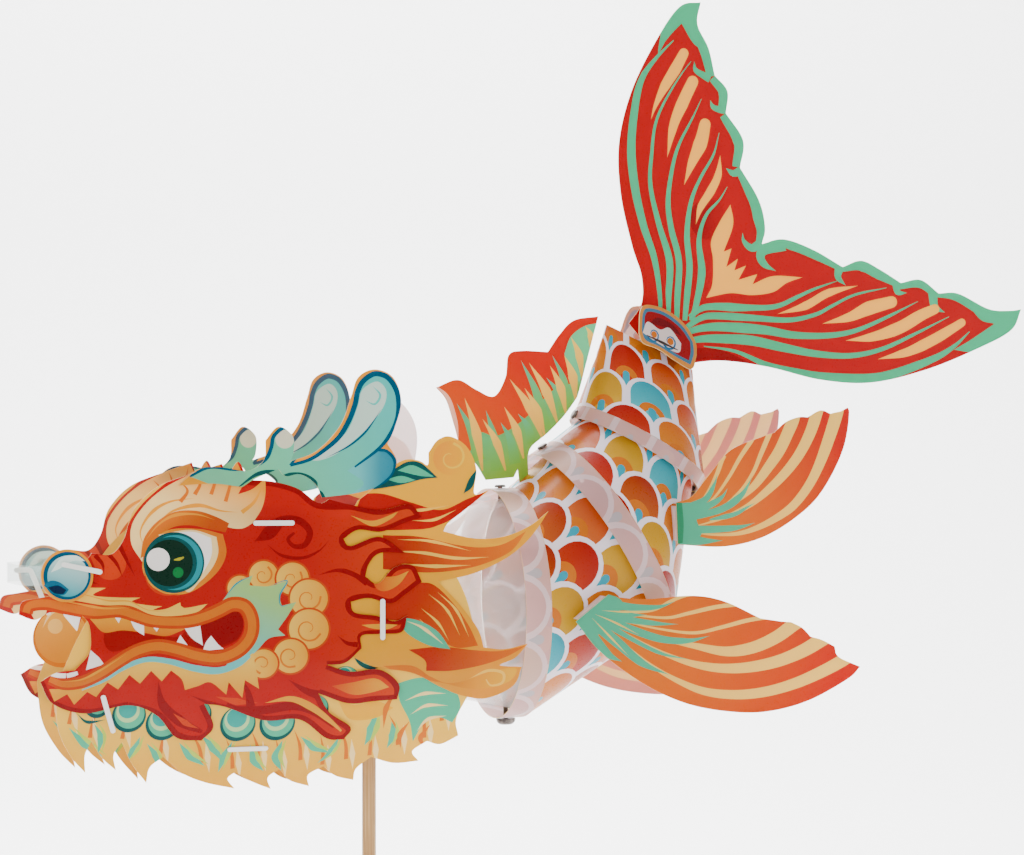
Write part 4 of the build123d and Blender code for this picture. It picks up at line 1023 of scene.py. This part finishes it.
for points, widths in (
    ([(116, 4), (135, 1.5), (150, 1.5), (160, 4.5)], (7, 4.4, 3, 0)), ([(114, 0), (128, -2.5), (143, -3)], (6,
        4, 0)),
    ([(114, -2), (135, -6), (150, -8), (162, -8.5)], (5, 4, 3, 0)),
    ([(114, -3), (135, -11.4), (152, -16.8), (168, -18), (181, -15.5)], (4, 4.4, 4.4, 3.6, 0)),
    ([(114, -5), (135, -17), (152, -25), (168, -28.5)], (4, 2.6, 2.2, 0)),
    ([(110, -6), (125, -18), (140, -30), (156, -37)], (6, 6, 4.4, 0)), ([(104, -8), (112, -17), (120, -25),
        (128, -29)], (5, 7, 5, 0)),
):
    pectoral_zones.append(stroke(points, widths, GREEN))
for points in ([(112, -2), (124, -7), (138, -14)], [(110, -4), (120, -14), (132, -26)], [(116, 0), (130, -1),
    (146, -0.5)]):
    pectoral_zones.append(stroke(points, (0, 1.2, 0), FIN_CREAM))

pelvic_edge = outline([
    [(168.5, 36), (168, 48)],
    [(167.5, 60), (177, 63.5), (187, 75), (201, 90), (220, 97.5)],
    [(228, 100), (235, 106), (243, 109)],
    [(249, 109), (257, 113)],
    [(263, 111), (270, 112.5), (275, 113), (271, 90), (257, 65), (240, 50), (219, 39), (196, 34.5)],
])
pelvic_zones = [(pelvic_edge, fade(tone(253, 144, 56), tone(250, 58, 44), (190, 50), (268, 96)))]
for points, widths in (
    ([(241, 114), (240, 108), (236.4, 100), (231.2, 89.7), (224.2, 80), (215.5, 69.4), (205, 61.3), (194.5,
        55.7), (183, 52.4), (172.7, 50)],
     (7.4, 7.4, 7, 6.4, 5.4, 4, 2.6, 1.6, 1, 0)),
    ([(256, 118), (254.8, 112.4), (250.4, 100), (243.4, 87.3), (234.7, 76.7), (224.2, 67), (212, 58), (198,
        51.6), (185.8, 48), (173.5, 45.5)],
     (7.4, 7.2, 6.6, 6, 5.4, 4.4, 3, 2, 1, 0)),
    ([(268, 116), (267, 110.8), (262.6, 97.8), (256.5, 82.4), (249.5, 69.4), (240, 58), (229.4, 50.8), (217.2,
        45.1), (205, 41.9), (190, 41.5), (175.3, 43)],
     (8, 7.6, 7, 6, 5.4, 5, 4, 3, 2, 1.2, 0)),
    ([(226, 102), (224.6, 98.6), (219.8, 88), (214.6, 76.7), (206.7, 66.2), (194.5, 56.5), (181.4, 51.6)],
        (3.2, 3, 2.4, 2, 1.6, 1, 0)),
    ([(215, 98), (213.7, 95.4), (206.7, 85.7), (199.7, 74.3), (191, 63), (180.5, 54.9)], (2.8, 2.6, 2.2, 1.8,
        1.2, 0)),
    ([(197, 87), (195.4, 84), (192.3, 76), (187.5, 67), (180.5, 58)], (2.8, 2.6, 2.2, 1.4, 0)),
):
    pelvic_zones.append(stroke(points, widths, FIN_CREAM))
pelvic_zones.append(patch([(167, 38, C), (166.5, 59, C), (176, 60), (183, 57), (180, 50), (183, 42), (176,
    36.5)], GREEN))
for points, widths in (
    ([(172, 56), (185, 61.5), (190.6, 70), (192.6, 76)], (5, 4.4, 3, 0)), ([(174, 53), (188, 58.5), (195.5,
        63), (199, 68)], (5, 4.4, 3.4, 0)),
    ([(174, 51), (195, 56), (207.5, 64), (214, 74)], (4, 4, 4.4, 0)), ([(188, 50), (203, 53), (211, 57), (216,
        59.5)], (1, 3, 2.2, 0)),
    ([(172, 44.5), (190, 44.5), (205, 45.4), (216, 48)], (5, 4.4, 3.6, 0)), ([(170, 40), (182, 38), (196,
        38)], (8, 4.4, 0)),
):
    pelvic_zones.append(stroke(points, widths, GREEN))
pelvic_zones.append(patch([(167, 36, C), (167, 60, C), (171, 60, C), (172, 48), (171.5, 37, C)], tone(70, 150,
    112)))

for side, mirror in (("left", False), ("right", True)):
    printed_sheet(f"pectoral_print_{side}", pectoral_edge, pectoral_zones, upright(71.0),
        f"pectoral_fin_{side}",
                  f"pectoral_fin_{side}", fin_film, mirror, 0.6, 9)
    printed_sheet(f"pelvic_print_{side}", pelvic_edge, pelvic_zones, upright(53.0), f"pelvic_fin_{side}",
                  f"pelvic_fin_{side}", fin_film, mirror, 0.6, 9)

# ---------------------------------------------------------------- dorsal fin
dorsal_edge = outline([
    [(70, 72.6), (64, 82), (55, 92), (51, 104), (46, 119)],
    [(40, 126), (53, 130.5), (64, 125), (75, 121), (82, 132), (84, 145), (92, 147.5), (107, 147)],
    [(108, 147), (115, 157), (124, 165.5)],
    [(139, 168), (133, 146), (127, 124)],
    [(125.5, 120), (118, 110.1), (108, 100.1), (98, 92.1)],
    [(95.5, 86)], [(96, 72)], [(91, 67.5)], [(89.5, 79)],
    [(87, 74.1)],
])
dorsal_zones = [
    (dorsal_edge, fade(tone(255, 124, 60), tone(254, 62, 38), (56, 100), (92, 146))),
    patch([(60, 88, C), (70, 71), (88, 73), (96, 66, C), (100, 90), (112, 102), (126, 118, C), (129, 130),
        (120, 128), (110, 124),
           (98, 112), (88, 104), (76, 98), (66, 100)], fade(tone(158, 190, 106), tone(126, 196, 150), (98,
               88), (84, 110))),
    patch([(118, 146, C), (122, 156), (130, 162), (138, 164, C), (134, 150), (129, 132), (122, 128), (120,
        138)], tone(136, 208, 168)),
    stroke([(41, 126), (47, 120), (51.5, 106), (53, 94)], (1, 3, 3, 1), tone(252, 214, 196)),
]
for base, tip, width in (
    ((66, 84), (52.4, 117), 7), ((77, 78), (70, 113), 8), ((88, 82), (79, 106), 7), ((98, 94), (89.6, 111),
        6),
    ((107, 102), (91.4, 142), 7), ((118, 112), (107, 132), 6), ((121, 115), (110.6, 145), 6), ((126, 124),
        (120, 134), 5),
):
    middle = ((base[0] + tip[0]) / 2 + 1.5, (base[1] + tip[1]) / 2 + 1.5)
    dorsal_zones.append(stroke([base, middle, tip], (width, width * 0.7, 0), fade(tone(150, 192, 112),
        tone(118, 198, 168), base, tip)))
for base, tip, width in (
    ((68, 78), (57.2, 120), 6), ((82, 78), (68, 108), 5), ((93, 85), (81.2, 115), 5.4), ((105, 96), (84.6,
        131), 5.6),
    ((106, 98), (93.6, 126), 5), ((114, 105), (96.4, 140.5), 6), ((119, 111), (109.2, 139), 5.6), ((125, 119),
        (118, 145), 6),
    ((129, 132), (122, 156), 5), ((134, 150), (131, 162), 4),
):
    middle = ((base[0] + tip[0]) / 2 + 1.5, (base[1] + tip[1]) / 2 + 1.5)
    dorsal_zones.append(stroke([base, middle, tip], (1, width, 0), fade(tone(240, 204, 128), FIN_CREAM, base,
        tip)))
printed_sheet("dorsal_print", dorsal_edge, dorsal_zones, upright(-0.3), "body_front", "dorsal_fin", fin_film,
    thick=0.6, back=0.12)

# ---------------------------------------------------------------- body
NECK, WAIST, STEM = (80.5, 1.5, 1.5), (138.5, 35.5, 31.0), (162.0, 88.5, 59.5)
TAIL_RING = (171.0, 150.0, 64.0)
SCALE_STEP = 21.0
TUBE_STEPS = 121
SCALE_ARC_STEPS = 13
FIRST_SCALE_BACK = 2
# shares of half a scale's width: the pale rim's, then the coloured fill's
RIM_WIDE, RIM_DEEP, FILL_SHARE = 1.04, 0.98, 0.83
RIM_FOOT, FILL_FOOT = 22, 26
FASTENER_HOLE = 2.1
SCALE_PAINTS = {
    "teal": (tone(56, 160, 180), tone(104, 198, 206)),
    "red": (tone(208, 18, 22), tone(238, 84, 50)),
    "brown": (tone(196, 44, 34), tone(226, 122, 60)),
    "orange": (tone(240, 118, 30), tone(246, 156, 62)),
    "gold": (tone(206, 150, 34), tone(232, 182, 66)),
    "coral": (tone(232, 66, 44), tone(246, 146, 88)),
}
SKY = tone(70, 176, 198)
FROST_PINK = tone(246, 222, 220)
RIM_LILAC = tone(250, 240, 248)


def ring_rim(ring, shift, high, wide, angles):
    """Points round a ring: angle 0 is the fish's left and 90 degrees its back."""
    x, z, tilt = ring
    turn = math.radians(tilt)
    centre = np.array([x + shift * math.cos(turn), 0, neck_height + z + shift * math.sin(turn)])
    left, up = np.array([0, -1.0, 0]), np.array([-math.sin(turn), 0, math.cos(turn)])
    return centre + np.cos(angles)[:, None] * wide * left + np.sin(angles)[:, None] * high * up


def body_print(name, node, body, front, back, columns, phase, rows, pins=(), veil=0.0, film=None):
    """A tube of scales between two rings, drawn in (way round the tube, distance from its tail end).

    The scales' round ends point to the tail, and the tube may be veiled to a frosted ghost of the print.
    """
    middle_radius = (front[2] + (back[2] + back[3]) / 2) / 2
    half_turn = math.pi * middle_radius

    def lengths(around):
        angles = around / middle_radius
        start = ring_rim(front[0], front[1], front[2], front[3], angles)
        end = ring_rim(back[0], back[1], back[2], back[3], angles)
        return np.linalg.norm(end - start, axis=1)

    def place(points, lift):
        angles = points[:, 0] / middle_radius
        inset = 0.5 - lift
        start = ring_rim(front[0], front[1], front[2] - inset, front[3] - inset, angles)
        end = ring_rim(back[0], back[1], back[2] - inset, back[3] - inset, angles)
        share = 1 - points[:, 1] / lengths(points[:, 0])
        return start + (end - start) * share[:, None]

    around = np.linspace(-half_turn, half_turn, TUBE_STEPS)
    edge = np.vstack([np.column_stack([around, np.zeros_like(around)]), np.column_stack([around,
        lengths(around)])[::-1]])
    zones = [(edge, tone(244, 128, 60))]
    pitch = 2 * half_turn / columns
    reach = pitch / 2
    for row, names in enumerate(rows):
        depth = row * SCALE_STEP - FIRST_SCALE_BACK
        for column in range(-columns, columns + 1):
            x = (column + (row % 2) / 2) * pitch + phase
            if abs(x) > half_turn + reach:
                continue
            dark, light = SCALE_PAINTS[names[column % len(names)]]
            rounded = [(x + reach * RIM_WIDE * math.cos(turn),
                depth - reach * RIM_DEEP * math.sin(turn)) for turn in np.linspace(0, math.pi, SCALE_ARC_STEPS)]
            zones.append((np.array([*rounded, (x - reach, depth + RIM_FOOT), (x + reach, depth + RIM_FOOT)]), RIM_LILAC))
            fill = reach * FILL_SHARE
            rounded = [(x + fill * math.cos(turn), depth - fill * math.sin(turn)) for turn in np.linspace(0,
                math.pi, SCALE_ARC_STEPS)]
            zones += [
                (np.array([*rounded, (x - fill, depth + FILL_FOOT), (x + fill, depth + FILL_FOOT)]),
                 fade(dark, light, (x, depth - reach), (x, depth + 12))),
                disc(x, depth + 10.5, reach * 0.52, tone(240, 134, 44)),
                disc(x, depth + 13, reach * 0.3, light),
                stroke([(x, depth + 8.5), (x, depth + 14), (x, depth + 25)], (reach * 0.3, reach * 0.32, 0),
                    SKY),
                disc(x, depth + 9, reach * 0.15, SKY),
            ]
    inside_rim = []
    for polygon, paint in zones:
        clipped = polygon.copy()
        clipped[:, 0] = np.clip(clipped[:, 0], -half_turn, half_turn)
        if veil:
            paint = fade(*(end * (1 - veil) + FROST_PINK * veil for end in paint[:2]),
                *paint[2:]) if isinstance(paint, tuple) else (
                paint * (1 - veil) + FROST_PINK * veil)
        inside_rim.append((clipped, paint))
    holes = [disc(side * half_turn / 2, depth, FASTENER_HOLE, WHITE)[0] for side in (-1, 1) for depth in pins]
    return printed_sheet(name, edge, inside_rim, place, body, node, film or body_film, grid=7.0, back=0.35,
        holes=holes)


body_film = film_material("body_film", glow=0.3)
hoop_film = film_material("hoop_film", glow=0.45, clear=0.22)

# A tube's end is (ring, distance behind the ring, half height, half width)
PRINTED_SHELLS = (
    ("body_print_front", "body_front", (NECK, 7.8, 66.2, 66.2), (WAIST, 4.0, 60.0, 60.0), 11, 12.0, (4.0,), (
        ("orange", "coral", "gold"),
        ("coral", "orange", "gold"),
        ("red", "brown", "orange"),
        ("brown", "red", "gold"),
        ("gold", "orange", "teal"),
    )),
    ("body_print_middle", "body_middle", (WAIST, 7.8, 64.7, 64.7), (STEM, 3.2, 37.0, 37.0), 9, 8.0, (3.2,), (
        ("brown", "orange", "coral"),
        ("gold", "coral", "teal"),
        ("brown", "red", "orange"),
        ("red", "orange", "gold"),
        ("orange", "teal", "red"),
    )),
    ("body_print_rear", "body_rear", (STEM, 6.3, 42.7, 42.7), (TAIL_RING, 0.0, 30.0, 3.2), 7, 5.0, (), (
        ("orange", "coral", "brown"),
        ("red", "orange", "coral"),
        ("teal", "gold", "coral"),
        ("red", "brown", "orange"),
        ("teal", "orange", "red"),
    )),
)
for name, node, front, back, columns, phase, pins, rows in PRINTED_SHELLS:
    body_print(name, node, node, front, back, columns, phase, rows, pins)

# A hoop is (node, body, ring, radius, its front and back edges about the ring)
HOOPS = (
    ("neck_hoop", "body_front", NECK, 66.5, -7.5, 7.5),
    ("waist_hoop", "body_middle", WAIST, 65.0, -7.5, 7.5),
    ("stem_hoop", "body_rear", STEM, 43.0, -2.0, 6.0),
)
HOOP_ROWS = (("coral", "orange", "red"), ("red", "gold", "coral"), ("orange", "coral", "teal"))
HOOP_COLUMNS, HOOP_PHASE, HOOP_VEIL = 11, 20.0, 0.68
for node, body, ring, radius, front_edge, back_edge in HOOPS:
    front, back = (ring, front_edge, radius, radius), (ring, back_edge, radius, radius)
    name = f"{node}_print"
    body_print(
        name, node, body, front, back, HOOP_COLUMNS, HOOP_PHASE, HOOP_ROWS, (back_edge,), HOOP_VEIL, hoop_film
    )

# ---------------------------------------------------------------- clasp
clasp_edge = outline([
    [(158, 158), (161, 171), (166, 174.5), (179, 172), (191, 164), (197.5, 153)],
    [(197, 145), (192, 137), (181, 142), (170, 148.5), (160, 152)],
])
clasp_zones = [
    (clasp_edge, tone(238, 168, 104)),
    patch([(160, 159, C), (162.5, 169.5), (167, 172.5), (178.5, 170), (189.5, 162.5), (195.5, 153, C), (195,
        146),
           (191.5, 139.5, C), (182, 144), (171, 150), (162, 153.5)], tone(96, 140, 168)),
    patch([(162, 160, C), (164, 168.5), (168, 170.5), (178, 168), (188, 161), (193.5, 153, C), (193, 147.5),
        (190.8, 142, C),
           (182, 146), (172, 152), (164, 155.5)], tone(200, 14, 26)),
    patch([(166, 163, C), (172, 167), (182, 163.5), (188.5, 156, C), (182, 159), (174, 162)], tone(150, 0,
        16)),
    # painted highlight: the pinkish-white patch across the plate stands for light reflected off the glossy clasp
    patch([(160.5, 158, C), (165, 164.5), (173, 160), (180, 161), (187, 152, C), (184, 146.5), (172, 151)],
        tone(240, 226, 222)),
    spiral(168, 157, 4.6, 200, 1.2, 1.3, tone(50, 130, 180)),
    spiral(179, 153, 5.0, 200, 1.2, 1.4, tone(50, 130, 180)),
    disc(168.4, 157, 2.0, ORANGE),
    disc(179.4, 153, 2.2, ORANGE),
    stroke([(163, 156.5), (173, 152.5), (184, 148)], (0.6, 1.8, 0.6), tone(74, 62, 60)),
]
hinge = joints["tail_swing"]
hinge_point = np.array(hinge["pos_m"]) * 1000
hinge_along = np.array([math.cos(math.radians(-42)), 0, math.sin(math.radians(-42))])
hinge_across = np.array([math.sin(math.radians(42)), 0, math.cos(math.radians(42))])
CLASP_REACH, CLASP_HALF_WIDTH, CLASP_TILT = 9.0, 5.2, math.radians(27)
clasp_up = hinge_across * math.cos(CLASP_TILT) + np.array([0, 1, 0]) * math.sin(CLASP_TILT)
clasp_out = np.cross(hinge_along, clasp_up)


def clasp_place(points, lift):
    """Places drawing points on the left clasp plate."""
    offset_x, offset_z = points[:, 0] - hinge_point[0], points[:, 1] + neck_height - hinge_point[2]
    along = offset_x * hinge_along[0] + offset_z * hinge_along[2]
    across = offset_x * hinge_across[0] + offset_z * hinge_across[2] - CLASP_REACH
    start = np.array([hinge_point[0], -CLASP_HALF_WIDTH,
        hinge_point[2]]) + hinge_across * CLASP_REACH + clasp_out * lift
    return start + along[:, None] * hinge_along + across[:, None] / math.cos(CLASP_TILT) * clasp_up


clasp_left = printed_sheet("clasp_print_left", clasp_edge, clasp_zones, clasp_place, "body_rear", None,
    print_film, thick=0.8)
clasp_right = printed_sheet("clasp_print_right", clasp_edge, clasp_zones, clasp_place, "body_rear", None,
    print_film, True, 0.8)
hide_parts("tail_clasp")
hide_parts("tail_clasp")

nose_film = film_material("nose_film", glow=0.5, clear=0.8, colour=tone(214, 232, 228))
dress(nose_film, "nose_band")

# ---------------------------------------------------------------- backdrop, lights, camera
# in metres; the backdrop is turned to face the camera
CAMERA_TURN, CAMERA_HEIGHT = -18, 0.493
FLOOR_END, SWEEP_RADIUS, WALL_PLACE = 2.4, 0.8, 3.2
BACKDROP_REACH = 5.0
FLOOR_DROP = 0.001
PAPER_ROUGHNESS, PAPER_GRAIN = 0.9, 60.0
SKY_STRENGTH = 0.6
LENS_LENGTH, SENSOR_WIDTH = 121.26, 36.0


def area_light(name, place, aim, size, power, colour=(1, 1, 1)):
    lamp = bpy.data.lights.new(name, "AREA")
    lamp.shape, lamp.size, lamp.energy, lamp.color = "SQUARE", size, power, colour
    made = bpy.data.objects.new(name, lamp)
    made.location = place
    made.rotation_euler = (Vector(aim) - Vector(place)).to_track_quat("-Z", "Y").to_euler()
    bpy.context.collection.objects.link(made)
    return made


def make_backdrop():
    """A pale floor that sweeps up into a wall, facing the camera."""
    profile = [(-BACKDROP_REACH, 0.0), (FLOOR_END, 0.0)]
    profile += [(FLOOR_END + SWEEP_RADIUS * math.sin(turn), SWEEP_RADIUS - SWEEP_RADIUS * math.cos(turn)) for turn in np.linspace(0.15,
        math.pi / 2, 10)]
    profile.append((WALL_PLACE, BACKDROP_REACH))
    turn = math.radians(CAMERA_TURN)
    right, away = Vector((math.cos(turn), math.sin(turn), 0)), Vector((-math.sin(turn), math.cos(turn), 0))
    work = bmesh.new()
    rows = []
    for side in (-BACKDROP_REACH, BACKDROP_REACH):
        rows.append([work.verts.new(right * side + away * depth + Vector((0, 0, height - FLOOR_DROP))) for depth,
            height in profile])
    for i in range(len(profile) - 1):
        work.faces.new((rows[0][i], rows[1][i], rows[1][i + 1], rows[0][i + 1])).smooth = True
    mesh = bpy.data.meshes.new("backdrop")
    work.to_mesh(mesh)
    work.free()
    paper = bpy.data.materials.new("backdrop_paper")
    paper.use_nodes = True
    nodes, links = paper.node_tree.nodes, paper.node_tree.links
    shader = nodes["Principled BSDF"]
    shader.inputs["Roughness"].default_value = PAPER_ROUGHNESS
    where = nodes.new("ShaderNodeTexCoord")
    grain = nodes.new("ShaderNodeTexNoise")
    ramp = nodes.new("ShaderNodeMix")
    grain.inputs["Scale"].default_value = PAPER_GRAIN
    ramp.data_type = "RGBA"
    ramp.inputs["A"].default_value = (0.93, 0.93, 0.93, 1)
    ramp.inputs["B"].default_value = (0.96, 0.96, 0.96, 1)
    links.new(where.outputs["Object"], grain.inputs["Vector"])
    links.new(grain.outputs["Fac"], ramp.inputs["Factor"])
    links.new(ramp.outputs["Result"], shader.inputs["Base Color"])
    mesh.materials.append(paper)
    backdrop = bpy.data.objects.new("backdrop", mesh)
    bpy.context.collection.objects.link(backdrop)


make_backdrop()
TARGET = (0.086, 0.0, CAMERA_HEIGHT)
area_light("key_light", (-1.3, -1.6, 1.9), TARGET, 1.4, 30)
area_light("fill_light", (1.5, -1.4, 0.9), TARGET, 1.6, 14)
area_light("back_light", (0.9, 1.1, 1.7), TARGET, 1.2, 12)
area_light("wall_light", (0.3, 1.5, 3.2), (0.9, 3.1, 0.5), 2.4, 560)

world = bpy.data.worlds.new("soft_sky")
world.use_nodes = True
world.node_tree.nodes["Background"].inputs["Color"].default_value = (1, 1, 1, 1)
world.node_tree.nodes["Background"].inputs["Strength"].default_value = SKY_STRENGTH
bpy.context.scene.world = world

camera = bpy.data.objects.new("camera", bpy.data.cameras.new("camera"))
camera.location = (-0.532, -1.9021, CAMERA_HEIGHT)
camera.rotation_euler = (math.radians(90), 0, math.radians(CAMERA_TURN))
camera.data.lens = LENS_LENGTH
camera.data.sensor_width = SENSOR_WIDTH
bpy.context.collection.objects.link(camera)
bpy.context.scene.camera = camera
